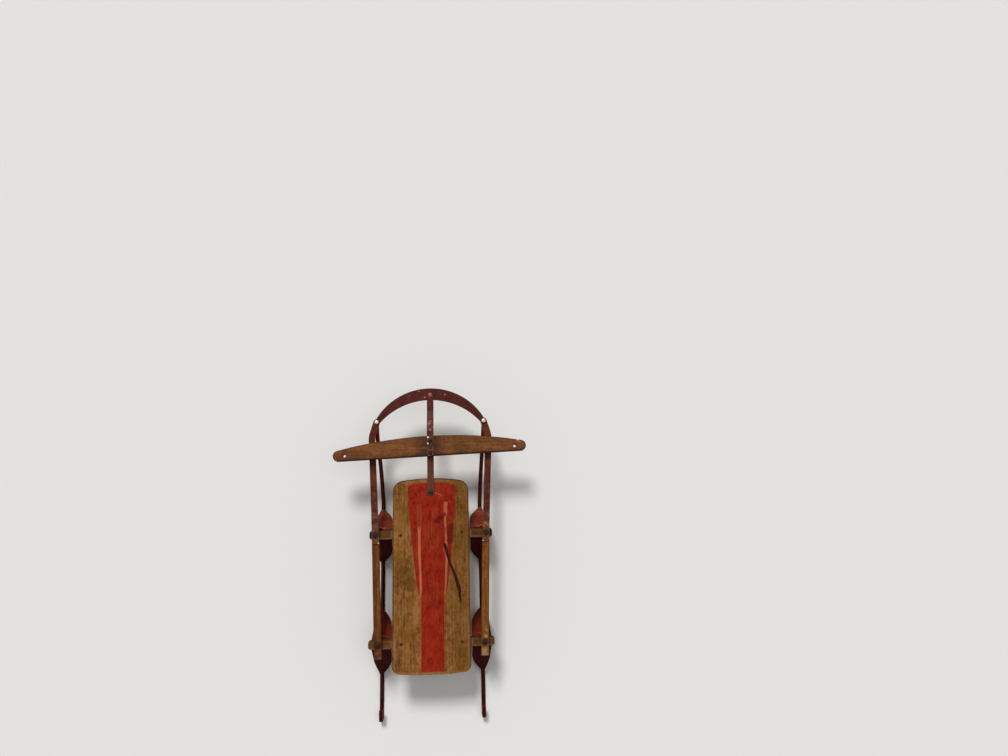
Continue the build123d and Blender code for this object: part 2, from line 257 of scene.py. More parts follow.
makeCamera(cameraValues)
makeStage(stageValues)
print("camera, lamps and floor are in place")

# ---- shared effects ----


def makeWoodGrain():
    # Grain runs along the vector's Y
    hand, given = startGroup(
        "woodGrain", {"Vector": "Vector", "Dark": "Color", "Light": "Color", "Grey": "Color", "Weather": "Float",
                      "Edge": "Float"}, {"Color": "Color", "Roughness": "Float", "Height": "Float"})
    broad = hand.noise((34, 7, 34), 5.0, 0.62, 0.6)
    rings = hand.add("ShaderNodeTexWave", {
        "Vector": hand.stretch((1, 0.045, 1), turn=0.02), "Scale": 34.0, "Distortion": 14.0, "Detail": 4.0,
        "Detail Scale": 1.2, "Detail Roughness": 0.65}, "Fac", wave_type="BANDS", bands_direction="X")
    fibre = hand.noise((620, 30, 620), 4.0, 0.72)
    speck = hand.noise((270, 150, 270), 4.0, 0.72)
    pores = hand.noise((1100, 90, 1100), 3.0, 0.65).ramp(0.60, 0.76)
    patches = hand.noise(21.0, 5.0, 0.62)
    blotch = hand.noise((95, 48, 95), 5.0, 0.68, 0.8)
    tone = rings * 0.05 + broad * 0.28 + speck * 0.30 + blotch * 0.28 + fibre * 0.14
    color = hand.mix(tone.ramp(0.39, 0.62), given["Dark"], given["Light"])
    color = hand.mix(patches.ramp(0.42, 0.66) * given["Weather"], color, given["Grey"])
    color = hand.mix(pores * 0.16, color, given["Dark"])
    # Handled edges are rubbed paler and pick up dirt in streaks
    rub = given["Edge"] * hand.noise(60.0, 4.0, 0.65).ramp(0.40, 0.62)
    color = hand.mix(rub * 0.45, color, given["Light"])
    soil = hand.noise((34, 17, 34), 6.0, 0.72, shift=(3, 1, 7)).ramp(0.50, 0.68)
    color = hand.mix(soil * 0.36, color, given["Dark"])
    hand.add("NodeGroupOutput", {"Color": color, "Roughness": patches * 0.22 + pores * 0.1 + 0.52,
                                 "Height": fibre * 0.5 + rings * 0.3 - pores * 0.5})
    return hand.tree


steelOutputs = {"Color": "Color", "Roughness": "Float", "Height": "Float", "Metallic": "Float"}


def makeAgedPaint():
    # Old enamel on steel: fading, small chips down to primer and steel, rust about the chips
    hand, given = startGroup(
        "agedPaint", {"Vector": "Vector", "Paint": "Color", "Faded": "Color", "Bare": "Color", "Rust": "Color",
                      "Chips": "Float", "EdgeWear": "Float", "Edge": "Float"}, steelOutputs)
    cloud = hand.noise(34.0, 5.0, 0.6)
    fine = hand.noise(420.0, 4.0, 0.65)
    color = hand.mix(cloud.ramp(0.36, 0.72), given["Paint"], given["Faded"])
    color = hand.mix(fine.ramp(0.5, 0.8) * 0.25, color, given["Faded"])
    # Chips: round-edged spots where cells and noise agree, more of them where Chips is high
    away = hand.noise(300.0, 2.0) * 0.35 + hand.cells(95.0) - (given["Chips"] * 0.20 + 0.165)
    field = hand.noise(48.0, 3.0, 0.6).ramp(0.50, 0.60)
    dot = hand.cells(250.0) - (given["Chips"] * 0.14 + 0.06)
    dots = dot.ramp(0.06, 0.0) * hand.noise(120.0).ramp(0.5, 0.62)
    reach = given["Edge"] * given["EdgeWear"] + hand.noise(150.0, 5.0, 0.7) * 0.8
    rustField = hand.noise(27.0, 6.0, 0.7).ramp(0.56, 0.70)
    rust = away.ramp(0.16, 0.0) * field * 0.55 | reach.ramp(0.66, 0.86) * 0.65 | rustField * 0.28
    color = hand.mix(rust, color, hand.mix(hand.noise(260.0, 4.0, 0.7), given["Rust"], given["Faded"]))
    bare = away.ramp(0.035, 0.0) * field | reach.ramp(0.80, 0.90) * 0.85 | dots * 0.75
    hand.add("NodeGroupOutput", {
        "Color": hand.mix(bare, color, given["Bare"]), "Roughness": rust * 0.35 + (cloud * 0.22 + 0.30),
        "Metallic": bare * 0.2, "Height": rust * fine * 0.5 + (fine * 0.12 + cloud * 0.2 - bare * 0.35)})
    return hand.tree


def makeOldSteel():
    # Bare worn steel: grey-brown, streaked, with rust in patches
    hand, given = startGroup(
        "oldSteel", {"Vector": "Vector", "Steel": "Color", "Shade": "Color", "Rust": "Color", "Rusty": "Float",
                     "Shine": "Float", "Edge": "Float"}, steelOutputs)
    cloud = hand.noise(70.0, 5.0, 0.65)
    streak = hand.noise((700, 40, 700), 3.0, 0.6)
    grit = hand.noise(620.0, 3.0, 0.7)
    color = hand.mix(streak * 0.4 + cloud * 0.6, given["Shade"], given["Steel"])
    rust = (cloud - (given["Rusty"] * -0.34 + 0.72)).ramp(-0.04, 0.10)
    color = hand.mix(rust, color, hand.mix(grit, given["Rust"], given["Shade"]))
    color = hand.mix(given["Edge"] * grit.ramp(0.35, 0.6) * 0.5, color, given["Steel"])
    hand.add("NodeGroupOutput", {
        "Color": color, "Roughness": rust * 0.35 + (streak * 0.2 + 0.33),
        "Metallic": (rust * -0.8 + 1.0) * given["Shine"], "Height": rust * grit * 0.7 + streak * 0.15})
    return hand.tree


woodGrain, agedPaint, oldSteel = makeWoodGrain(), makeAgedPaint(), makeOldSteel()

# ---- finishes ----
# Masks read the piece's own place, in metres: x and y across and along the sled, z up, and
# far, the distance from the middle. edge is 1 on a piece's borders

bareSteel = {"Steel": (116, 70, 44), "Shade": (62, 32, 18), "Rust": (78, 34, 18), "Rusty": 0.4, "Shine": 0.08}
crosspieceStations = (-0.248, 0.044)


class Coat(Hand):
    # A finish in the making: one of the shared groups, with more colours laid over it
    def __init__(self, name, tree, values, turn=0.0):
        self.material = bpy.data.materials.new(name)
        self.material.use_nodes = True
        super().__init__(self.material.node_tree)
        self.place = self.add("ShaderNodeTexCoord", out="Object")
        spot = self.add("ShaderNodeSeparateXYZ", {0: self.place})
        self.x, self.y, self.z, self.far = spot["X"], spot["Y"], spot["Z"], abs(spot["X"])
        self.edge = self.add("ShaderNodeAttribute", out="Fac", attribute_name="edge")
        base = self.effect(tree, values, turn)
        self.color, self.rough, self.height, self.metal = (
            base[key] for key in ("Color", "Roughness", "Height", "Metallic"))

    def effect(self, tree, values, turn=0.0):
        vector = self.stretch((1, 1, 1), turn=turn) if turn else self.place
        return self.add("ShaderNodeGroup", {"Vector": vector, "Edge": self.edge, **values}, node_tree=tree)

    def lay(self, mask, color, share=1.0):
        self.color = self.mix(mask if share == 1.0 else mask * share, self.color, color)

    def bareTo(self, share, **changes):
        # Paint gives way to bare steel where share is 1
        steel = self.effect(oldSteel, {**bareSteel, **changes})
        self.lay(share, steel["Color"])
        self.rough, self.height, self.metal = (
            share * steel[key] + (1 - share) * own
            for key, own in (("Roughness", self.rough), ("Height", self.height), ("Metallic", self.metal)))

    def spots(self, marks, ragged=0.5):
        # 1 on each mark (x, y, radius in millimetres), with a ragged border
        rough, flat = self.noise(420.0, 3.0, 0.7) * (2 * ragged) + (1 - ragged), self.stretch((1, 1, 0))
        made = None
        for x, y, radius in marks:
            away = self.distance(flat, (x * mm, y * mm, 0)) * rough
            mask = away.ramp(radius * mm, radius * mm * 0.7)
            made = made | mask if made else mask
        return made

    def blotches(self, marks):
        # Dark patches broken up by noise. marks are (x, y, size, how flat), in millimetres
        drift, made = self.noise((110, 80, 110), 6.0, 0.75), None
        for x, y, size, flat in marks:
            size *= mm
            away = drift * (size * 2.4) + self.distance(self.stretch((1, flat, 0)), (x * mm, y * mm * flat, 0))
            mask = away.ramp(size * 2.7, size * 1.8)
            made = made | mask if made else mask
        return made

    def offCrosspiece(self):  # station measured from the nearer crosspiece
        return self.y - self.y.ramp(-0.12, -0.08, *crosspieceStations)

    def facing(self):  # how far the surface faces up
        return self.add("ShaderNodeSeparateXYZ", {0: self.add("ShaderNodeNewGeometry", out="Normal")}, "Z")

    def finish(self, spec, bump=0.25, metallic=True):
        normal = self.add("ShaderNodeBump", {"Distance": bump * mm, "Strength": 1.0, "Height": self.height}, "Normal")
        values = {"Base Color": self.color, "Roughness": self.rough, "Normal": normal, "Specular IOR Level": spec}
        if metallic:
            values["Metallic"] = self.metal
        for name, value in values.items():
            self.put(value, self.tree.nodes["Principled BSDF"].inputs[name])
        return self.material


screwSpots = [(-84.0, 41.0), (85.5, 46.0), (-81.5, -248.0), (83.0, -247.0)]
deckPaint = {
    "wood": {"Dark": (68, 38, 0), "Light": (150, 101, 54), "Grey": (112, 74, 18), "Weather": 0.8},
    "tan": (162, 108, 68), "olive": (86, 52, 0), "red": (143, 28, 8), "redDeep": (104, 10, 3),
    "redRubbed": (150, 58, 26), "cream": (178, 98, 66), "dull": (142, 66, 38), "stain": (38, 8, 4),
    "blot": (84, 10, 4), "ash": (62, 36, 0), "rim": (58, 28, 14), "rearRim": (166, 118, 66),
    # Half width of the red field, then the middles and half widths of its two bare lines and of the dark line, each
    # (station, value)
    "fieldHalf": [(-330, 32.4), (-187, 32.7), (-128, 34.0), (-102, 42.4), (-48, 49.2), (8, 55.6), (72, 61.3),
                  (109, 65.1), (200, 69.7)],
    "left": [(-330, -28.6), (-134, -29.4), (-102, -28.6), (-54, -30.3), (-16, -32.2), (66, -32.9), (127, -32.7)],
    "leftHalf": [(-330, 1.0), (-134, 1.3), (-102, 2.7), (-54, 2.5), (-16, 3.2), (52, 3.0), (62, 5.6), (127, 6.2)],
    "right": [(-330, 36.6), (-120, 37.2), (-96, 40.0), (-24, 42.9), (53, 41.8), (86, 39.1), (100, 40.8),
              (131, 41.9)],
    "rightHalf": [(-330, 1.0), (-120, 1.2), (-96, 2.0), (-56, 2.6), (86, 2.5), (96, 4.8), (131, 4.8)],
    "scratch": [(-146, 79.8), (-129.3, 78.7), (-110.6, 77.6), (-91.8, 72.4), (-70.2, 65.8), (-37.5, 52.4),
                (-18.3, 45.7), (2.0, 41.4), (16.0, 38.4)],
    "scratchHalf": [(-146, 1.8), (-126, 4.2), (-100, 5.4), (-70, 4.6), (-40, 3.6), (-18, 3.8), (0, 4.6), (16, 4.4)],
    "smear": [(17, 80, 7.8, 1.1), (24, 86, 8.8, 1.4), (31, 91, 8.0, 1.6), (38, 96, 6.0, 1.2)],
    "tongue": [(54, 57, 11.5, 1.0), (55, 42, 11.0, 0.8), (53, 26, 8.5, 0.8)],
    "creamFlecks": [(12.5, 157.1, 1.7), (16.8, 155.5, 1.3), (21.0, 153.6, 1.8), (25.2, 151.8, 1.5), (29.4, 150, 2.0)],
    "tanFlecks": [(-86.5, 176.8, 1.5), (-83.0, 175.5, 1.2), (-79.0, 174.2, 1.4), (-74.5, 172.2, 1.5)],
    "nicks": [(-58.4, 15, 2.0), (-57.2, 10.5, 1.8), (72, -202, 2.0), (-96, -180, 1.6), (92, -30, 1.8)],
}


def makeDeckPaint(values):
    coat = Coat("deckPaintedBoard", woodGrain, values["wood"])
    x, y, edge = coat.x, coat.y, coat.edge
    wobble = coat.noise(260.0, 2.0)
    # The red field is wide at the bow and straight at the tail, and its front corners are
    # rounded: the shorter way out of it counts
    inside = y.track(values["fieldHalf"]) - abs(wobble * 0.0016 + (x - 0.0040))
    nose = x * x * -1.35 + 0.1875 - (wobble * 0.0014 + y)
    field = coat.math("SMOOTH_MIN", inside, nose, 0.014).ramp(0.0, 0.0011) * y.ramp(-0.3215, -0.3200)
    # Two bare lines beside the middle band. The left one is hollow at the bow
    offLeft, offRight = abs(x - y.track(values["left"])), abs(x - y.track(values["right"]))
    hollow = offLeft.ramp(0.0015, 0.0032, 0.75, 0.0) * y.ramp(0.058, 0.066)
    left = (offLeft - y.track(values["leftHalf"])).ramp(0.0014, -0.0006) * (1 - hollow)
    left = left * y.ramp(0.056, 0.064, 1.0, 0.8) * y.ramp(0.128, 0.124)
    right = (offRight - y.track(values["rightHalf"])).ramp(0.0014, -0.0006) * y.ramp(0.133, 0.129) * 0.8
    lines = (left | right) * y.ramp(-0.140, -0.110, 0.35, 1.0)
    # Wear: lengthwise rubbing, small flakes and a rubbed middle
    rub = coat.noise((240, 22, 240), 5.0, 0.7)
    flake = coat.noise(330.0, 4.0, 0.7)
    patch = coat.noise(30.0, 4.0, 0.6)
    worn = patch * 0.45 + (rub * 0.55 + flake * 0.45)
    middle = x.band(-0.014, 0.016, 0.008) * y.band(0.0, 0.112, 0.012) * rub.ramp(0.46, 0.60)
    red = coat.mix(coat.noise((90, 44, 90), 6.0, 0.74).ramp(0.38, 0.56), values["redDeep"], values["red"])
    deepSide = x.ramp(0.006, 0.046) * y.band(-0.330, 0.104, 0.020) * patch.ramp(0.34, 0.52)
    red = coat.mix(deepSide * 0.55, red, values["redDeep"])
    red = coat.mix(worn.ramp(0.64, 0.86) * 0.45, red, values["redRubbed"])
    red = coat.mix(flake.ramp(0.56, 0.72) * 0.3, red, values["redRubbed"])
    red = coat.mix(middle * 0.30, red, coat.color)
    onTop = coat.z.ramp(0.1125, 0.1145)
    cover = field * (1 - worn.ramp(0.83, 0.93) * 0.85) * (flake * 0.5 + edge).ramp(1.05, 0.85) * onTop
    coat.lay(cover, red)
    cream = coat.mix(y.ramp(0.05, 0.07) * x.ramp(0.01, -0.01), values["cream"], values["dull"])
    cream = coat.mix(rub.ramp(0.50, 0.70) * 0.7, cream, red)
    coat.lay(cover * lines * patch.ramp(0.30, 0.42, 0.7, 1.0), cream)
    # A dark line runs off the band to the right, with dark blots about its head and a pale scrape beside it
    middleX, wide = y.track(values["scratch"]), y.track(values["scratchHalf"])
    drift = coat.noise(120.0) * 0.010 - 0.005
    scratch = (abs(drift * 0.35 + x - middleX) - wide).ramp(0.0010, -0.0012)
    scratch = scratch * y.ramp(0.018, 0.014) * y.ramp(-0.150, -0.142)
    blots = coat.blotches(values["smear"]) * 0.85 | coat.blotches(values["tongue"]) * 0.8
    coat.lay(blots * onTop * flake.ramp(0.34, 0.56, 0.7, 1.0), values["blot"])
    coat.lay(scratch * onTop, values["stain"], 0.95)
    scrape = (x - middleX + wide).band(-0.0030, -0.0006, 0.0008) * y.band(-0.036, 0.004, 0.004)
    coat.lay((scrape * rub.ramp(0.40, 0.54) | coat.spots(values["creamFlecks"])) * onTop, values["cream"])
    coat.lay(coat.spots(values["tanFlecks"]) * onTop, values["tan"], 0.7)
    # A dark line runs round the board's border, with a rubbed rim inside it. The tail's border is rubbed pale
    tail = y.ramp(-0.312, -0.322)
    coat.lay(edge.band(0.20, 0.46, 0.06) * flake.ramp(0.42, 0.60) * onTop, values["tan"], 0.55)
    coat.lay(edge.ramp(0.50, 0.66) * (1 - tail) * y.ramp(0.150, 0.175, 0.6, 1.0), values["rim"], 0.85)
    coat.lay((rub * 1.1 + edge).ramp(0.95, 1.30) * tail, values["rearRim"], 0.85)
    # Painted shade about the strap's end, and dirt about every screw and in the grain beside the band's shoulders
    offStrap = coat.add("ShaderNodeCombineXYZ", {0: x, 1: coat.math("MINIMUM", y - 0.159, 0.0)})
    # Painted shade along the strap where it lies on the board, and round its rear end
    coat.lay(coat.distance(offStrap).ramp(0.0128, 0.0095) * onTop, values["stain"], 0.85)
    coat.lay(coat.spots([(*spot, 5.8) for spot in screwSpots]) * onTop, values["rim"], 0.55)
    grime = coat.spots([(86, 128, 26), (92, 95, 22), (80, 160, 16), (-97, 165, 16)])
    coat.lay(grime * coat.noise(150.0, 4.0, 0.7).ramp(0.44, 0.60) * onTop, values["rim"], 0.6)
    # Pinkish and dark clouds, and a few nicks, in the bare wood. Its right side is darker
    bare = (1 - cover) * (1 - scratch)
    cloud = coat.noise((110, 56, 110), 6.0, 0.75, shift=(5, 2, 1))
    coat.lay(bare * cloud.ramp(0.52, 0.66), values["tan"], 0.45)
    coat.lay(bare * cloud.ramp(0.47, 0.34), values["ash"], 0.45)
    coat.lay(bare * x.ramp(0.045, 0.068) * y.ramp(-0.02, 0.06, 0.28, 0.42), values["olive"])
    coat.lay(bare * coat.spots([(-74, -68, 30), (-58, -93, 22), (-94, -84, 20)], 0.7), values["ash"], 0.35)
    nicks = coat.spots(values["nicks"])
    coat.lay(nicks, values["rim"], 0.85)
    coat.rough = cover * -0.12 + coat.rough
    coat.height = cover * 0.35 + (nicks * -0.8 + coat.height)
    return coat.finish(0.06, 0.4, False)


barFinish = {
    "wood": {"Dark": (66, 36, 14), "Light": (130, 79, 38), "Grey": (96, 58, 30), "Weather": 0.6},
    "red": (128, 58, 36), "dirt": (38, 22, 12), "dark": (46, 20, 10), "chip": (186, 150, 120), "side": (58, 20, 12),
}


def makeBarWood(values):
    coat = Coat("barWood", woodGrain, values["wood"], math.pi / 2)
    x, y, far, edge = coat.x, coat.y, coat.far, coat.edge
    # Old red stain is left at the two tips and in streaks, and the middle is dark with grease
    smear = coat.noise((24, 130, 130), 4.0, 0.65)
    coat.lay(far.ramp(0.218, 0.262) * smear.ramp(0.38, 0.62), values["red"], 0.62)
    coat.lay(smear.ramp(0.60, 0.74), values["red"], 0.3)
    coat.lay(far.ramp(0.052, 0.010) * smear.ramp(0.25, 0.55), values["dirt"], 0.75)
    coat.lay(abs(far - 0.2408).ramp(0.010, 0.004) * y.band(0.255, 0.293, 0.004), values["dirt"], 0.35)
    # Darker towards both long edges, with a thin dark line along the front one
    across = y - 0.274 - x * 0.0424
    shade = across.ramp(-0.004, -0.0135) * 0.7 | edge.ramp(0.0, 0.7) * 0.8
    coat.lay(shade * smear.ramp(0.30, 0.62, 1.0, 0.55), values["dark"])
    line = edge.ramp(0.30, 0.62) * across.ramp(0.0, 0.012, 0.9, 0.55)
    coat.lay(line | abs(coat.facing()).ramp(0.85, 0.35) * 0.85, values["side"])
    coat.lay(coat.spots([(250.5, 300.1, 3.0), (256, 295, 1.8), (-262, 250, 1.8)]), values["chip"], 0.8)
    return coat.finish(0.12, 0.4, False)


crosspieceFinish = {
    "wood": {"Dark": (46, 22, 4), "Light": (108, 64, 10), "Grey": (86, 50, 18), "Weather": 0.7},
    "dip": (30, 22, 20), "rearEnds": (96, 58, 36), "drip": (96, 34, 24), "border": (122, 86, 68),
    "shade": (44, 20, 12),
}


def makeCrosspieceWood(values):
    coat = Coat("crosspieceWood", woodGrain, values["wood"], math.pi / 2)
    far, across = coat.far, coat.offCrosspiece()
    # The ends past the rails are black with paint at the front and brown at the rear
    front = coat.y.ramp(-0.1, 0.0)
    coat.lay(far.ramp(0.1585, 0.1625) * front, values["dip"], 0.88)
    coat.lay(far.ramp(0.150, 0.158) * (1 - front), values["rearEnds"], 0.45)
    # Drips of the steel's red paint near the knees
    nearKnee = far.band(0.108, 0.172, 0.006) * coat.z.ramp(0.101, 0.088)
    coat.lay(coat.noise(60.0, 4.0, 0.7).ramp(0.54, 0.64) * nearKnee, values["drip"])
    # A greyed border lies along the deck's edge and the rear edge
    border = far.ramp(0.1140, 0.1110) | across.ramp(-0.0070, -0.0095)
    coat.lay(border * coat.noise(140.0, 4.0, 0.7).ramp(0.36, 0.55, 0.45, 0.9), values["border"])
    coat.lay(across.ramp(0.0085, 0.0105), values["shade"], 0.7)
    return coat.finish(0.12, 0.4, False)


railFinish = {
    "wood": {"Dark": (58, 28, 6), "Light": (148, 87, 20), "Grey": (94, 56, 20), "Weather": 0.55},
    "frontRust": (70, 34, 22), "rearRust": (72, 44, 26), "pale": (170, 120, 66), "dark": (54, 24, 8),
    "paleEnd": (178, 144, 96), "paint": (112, 52, 32), "border": (66, 40, 22), "orange": (150, 80, 26),
    "soot": (36, 18, 10), "worn": (172, 130, 88), "tail": (120, 98, 76), "leftRail": (58, 22, 2),
}


def makeRailWood(values):
    coat = Coat("railWood", woodGrain, values["wood"])
    x, y, edge = coat.x, coat.y, coat.edge
    smear = coat.noise((150, 18, 150), 4.0, 0.65)
    # Rust from the steel strip and from the bolts has bled into the wood
    coat.lay(y.ramp(0.004, 0.030) * 0.35 * smear, values["frontRust"])
    coat.lay(y.band(-0.275, -0.215, 0.014) * smear.ramp(0.35, 0.6), values["rearRust"], 0.55)
    # Pale and dark streaks run along the grain
    streak = coat.noise((640, 11, 640), 4.0, 0.7)
    coat.lay(streak.ramp(0.53, 0.64), values["pale"], 0.40)
    coat.lay(streak.ramp(0.47, 0.36), values["dark"], 0.50)
    coat.lay(x.ramp(0.0, 0.01) * y.ramp(-0.258, -0.270) * smear.ramp(0.36, 0.56), values["paleEnd"], 0.55)
    # Paint traces along the rail's inner and outer borders
    coat.lay(smear.ramp(0.52, 0.66) * (edge * 0.5 + 0.12), values["paint"])
    coat.lay(edge, values["border"], 0.3)
    # Paler spots at the tail ends: an orange one on the left, a pale one on the right
    coat.lay(coat.spots([(-147.5, -268.5, 6.8)], 0.6), values["orange"], 0.6)
    coat.lay(coat.spots([(-145.3, -248, 12.5), (145.3, -248, 11.5)], 0.45), values["soot"], 0.7)
    coat.lay(coat.spots([(147.8, -233.6, 6.0), (150, -218, 3.5)]), values["worn"], 0.6)
    coat.lay(y.ramp(-0.2775, -0.2810), values["tail"], 0.65)
    # The left rail is darker and redder, its outer half most
    outer = (coat.far - y * 0.0298).ramp(0.1500, 0.1545, 0.38, 0.72)
    coat.lay(x.ramp(0.02, -0.02) * outer * smear.ramp(0.25, 0.6, 0.55, 1.0), values["leftRail"])
    return coat.finish(0.12, 0.4, False)


steelPaints = {
    "strip": {"Paint": (66, 19, 11), "Faded": (98, 47, 28), "Bare": (162, 112, 84), "Rust": (60, 24, 14),
              "Chips": 0.6, "EdgeWear": 0.46},
    "bow": {"Paint": (66, 18, 12), "Faded": (86, 34, 24), "Bare": (178, 140, 122), "Rust": (52, 22, 14),
            "Chips": 0.15, "EdgeWear": 0.34},
    "strap": {"Paint": (68, 20, 14), "Faded": (90, 38, 28), "Bare": (176, 118, 102), "Rust": (58, 22, 14),
              "Chips": 0.6, "EdgeWear": 0.4},
    # The runners' paint is darker than the other enamel: painted shade from the deck above them
    "runner": {"Paint": (46, 6, 5), "Faded": (62, 13, 10), "Bare": (110, 74, 60), "Rust": (48, 16, 9),
               "Chips": 0.15, "EdgeWear": 0.3},
    "knee": {"Paint": (92, 18, 9), "Faded": (104, 36, 20), "Bare": (150, 88, 66), "Rust": (60, 20, 11),
             "Chips": 0.3, "EdgeWear": 0.36},
}


def makeStripPaint():
    # Paint has gone from the strip's rear end, where it lies on the rail
    coat = Coat("stripPaint", agedPaint, steelPaints["strip"])
    y = coat.y
    ragged = coat.noise(90.0, 4.0, 0.65) * 0.02 + y
    coat.bareTo(ragged.ramp(0.093, 0.083) * 0.85)
    coat.lay(coat.edge.ramp(0.1, 0.6) * coat.noise((60, 140, 60), 4.0, 0.7).ramp(0.48, 0.60), (140, 96, 78), 0.55)
    coat.lay(coat.noise(240.0, 4.0, 0.72).ramp(0.50, 0.62) * y.ramp(0.088, 0.080), (152, 106, 80), 0.35)
    # A dark line where the strip leaves the rail, bright glints at its rear corners
    coat.lay(ragged.band(0.087, 0.091, 0.0012), (40, 16, 10), 0.7)
    coat.lay(coat.spots([(-145.2, 21.5, 2.2), (145.2, 21.5, 1.8)], 0.4), (206, 180, 152))
    coat.lay(coat.spots([(153, 70, 3.0), (160, 66, 2.8), (149, 61, 2.0)]), (168, 124, 84), 0.7)
    coat.lay(coat.spots([(-154, 44, 11.5), (154, 44, 11.0)], 0.45), (30, 16, 10), 0.75)
    coat.lay(coat.spots([(151, 32, 1.6), (151.2, 25, 1.6)], 0.2), (30, 16, 12))
    return coat.finish(0.1)


def makeBowPaint():
    # A few larger chips at the bow's front, and a darker inner edge
    coat = Coat("bowPaint", agedPaint, steelPaints["bow"])
    chips = coat.spots([(-32.7, 451.9, 1.9), (43.1, 440.9, 2.1), (-15.9, 433.1, 2.1), (30, 442, 1.1),
                        (-60, 438, 1.2)], 0.4)
    coat.lay(chips, (190, 146, 126), 0.85)
    coat.lay(coat.edge.ramp(0.1, 0.7), (40, 14, 10), 0.45)
    return coat.finish(0.1)


def makeFrontStrapPaint():
    # The strap is bare and brown where it is bolted on the bar
    coat = Coat("frontStrapPaint", agedPaint, steelPaints["strap"])
    ragged = coat.noise(110.0, 4.0, 0.65) * 0.02 + coat.y
    coat.bareTo(ragged.ramp(0.336, 0.318) * 0.8, Steel=(128, 84, 56), Shade=(60, 35, 22), Rusty=0.55)
    # Rubbed places ahead of the bar, and bright metal beside the nuts
    coat.lay(coat.spots([(-2.9, 353, 4.6), (0, 334.5, 4.0), (1, 360, 3.0)]), (170, 108, 96), 0.65)
    bright = coat.spots([(-6.6, 312.5, 3.0), (-6.8, 294.5, 2.4), (7.8, 262.7, 1.8), (-4, 260, 1.6)], 0.4)
    coat.lay(bright, (206, 196, 184))
    coat.metal = coat.metal | bright * 0.5
    coat.lay(coat.spots([(0, 283.5, 7.0)]), (30, 20, 14), 0.7)
    return coat.finish(0.1)


def makeRearStrapPaint():
    # Only a little paint is left under the bar
    coat = Coat("rearStrapPaint", agedPaint, steelPaints["strap"])
    ragged = coat.noise(110.0, 4.0, 0.65) * 0.02 + coat.y
    coat.bareTo(ragged.ramp(0.254, 0.246) * 0.92, Steel=(104, 66, 46), Shade=(58, 34, 22))
    coat.lay(coat.edge.ramp(0.15, 0.7), (138, 94, 74), 0.5)
    coat.lay(coat.spots([(0, 159, 8.6)], 0.4), (36, 18, 10), 0.7)
    return coat.finish(0.1)


def makeRunnerPaint():
    # The sole is rubbed bright by snow, and rust creeps up from it
    coat = Coat("runnerPaint", agedPaint, steelPaints["runner"])
    y, z, facing = coat.y, coat.z, coat.facing()
    coat.bareTo(facing.ramp(-0.5, -0.85) * z.ramp(0.05, 0.004) * 0.9, Steel=(150, 140, 130), Rusty=0.5, Shine=0.6)
    # The upper faces of the rise towards the bow are painted a lighter red, with less of the painted shade
    coat.lay(y.ramp(0.10, 0.18) * facing.ramp(-0.6, -0.2), (96, 18, 16), 0.6)
    # The curled tails are darkened a little, with a painted dull-pink highlight along their borders
    curl = y.ramp(-0.418, -0.428) * z.ramp(0.012, 0.022)
    coat.lay(curl, (42, 6, 6), 0.6)
    border = coat.edge.ramp(0.4, 0.8) | coat.noise(160.0, 4.0, 0.7).ramp(0.56, 0.66) * 0.5
    coat.lay(curl * border, (126, 48, 38), 0.8)
    return coat.finish(0.05)


kneeScuffs = {
    "outside": (118, 62, 46), "inside": (110, 54, 30), "ridge": (140, 30, 16), "lip": (170, 84, 66),
    "gap": (34, 8, 6), "shoulder": (136, 78, 56), "shade": (52, 6, 8), "dirt": (42, 12, 8),
}


def makeKneePaint(values):
    # The legs towards the bow are scuffed pink outside the rib and tan inside it, colours that also paint the light
    # falling differently on the rib's two sides. Those towards the tail are painted near-black as shade
    coat = Coat("kneePaint", agedPaint, steelPaints["knee"])
    y, z, along = coat.y, coat.z, coat.offCrosspiece()
    off, frontKnee = coat.far - 0.142, y.ramp(-0.12, -0.08)
    bowLeg = along.ramp(0.008, 0.014) * y.ramp(-0.12, -0.08, 0.40, 1.0)
    scuff = coat.noise(130.0, 4.0, 0.7).ramp(0.40, 0.58, 0.35, 1.0)
    # Pink outside the rib, tan inside it and a brighter red on the rib: scuffs, and painted light on the rib's sides
    coat.lay(bowLeg * off.ramp(0.0030, 0.0050) * scuff, values["outside"], 0.75)
    coat.lay(bowLeg * off.ramp(-0.0035, -0.0060) * scuff, values["inside"], 0.65)
    coat.lay(bowLeg * off.band(-0.0035, 0.0035, 0.0012), values["ridge"], 0.65)
    # A painted highlight along the top bend of the legs towards the bow
    coat.lay(bowLeg * z.band(0.0800, 0.0840, 0.0012) * off.band(-0.014, 0.006, 0.003), values["lip"], 0.7)
    # Painted shade in the gap just under the crosspiece
    coat.lay(bowLeg * z.ramp(0.0843, 0.0853) * along.ramp(0.0128, 0.0136), values["gap"], 0.85)
    coat.lay(along.ramp(0.050, 0.062) * frontKnee * scuff, values["shoulder"], 0.7)
    # Painted shade darkens the foot of the rear knees' bow side, and all of the tail side
    foot = along.ramp(0.030, 0.078) * (1 - frontKnee)
    shade = along.ramp(-0.006, -0.012) * 0.94 | foot * 0.8
    coat.lay(shade, values["shade"])
    coat.rough = shade * 0.25 + coat.rough
    coat.lay(coat.noise(40.0, 5.0, 0.7).ramp(0.48, 0.66) * z.ramp(0.02, 0.07, 0.55, 0.12), values["dirt"])
    return coat.finish(0.05)


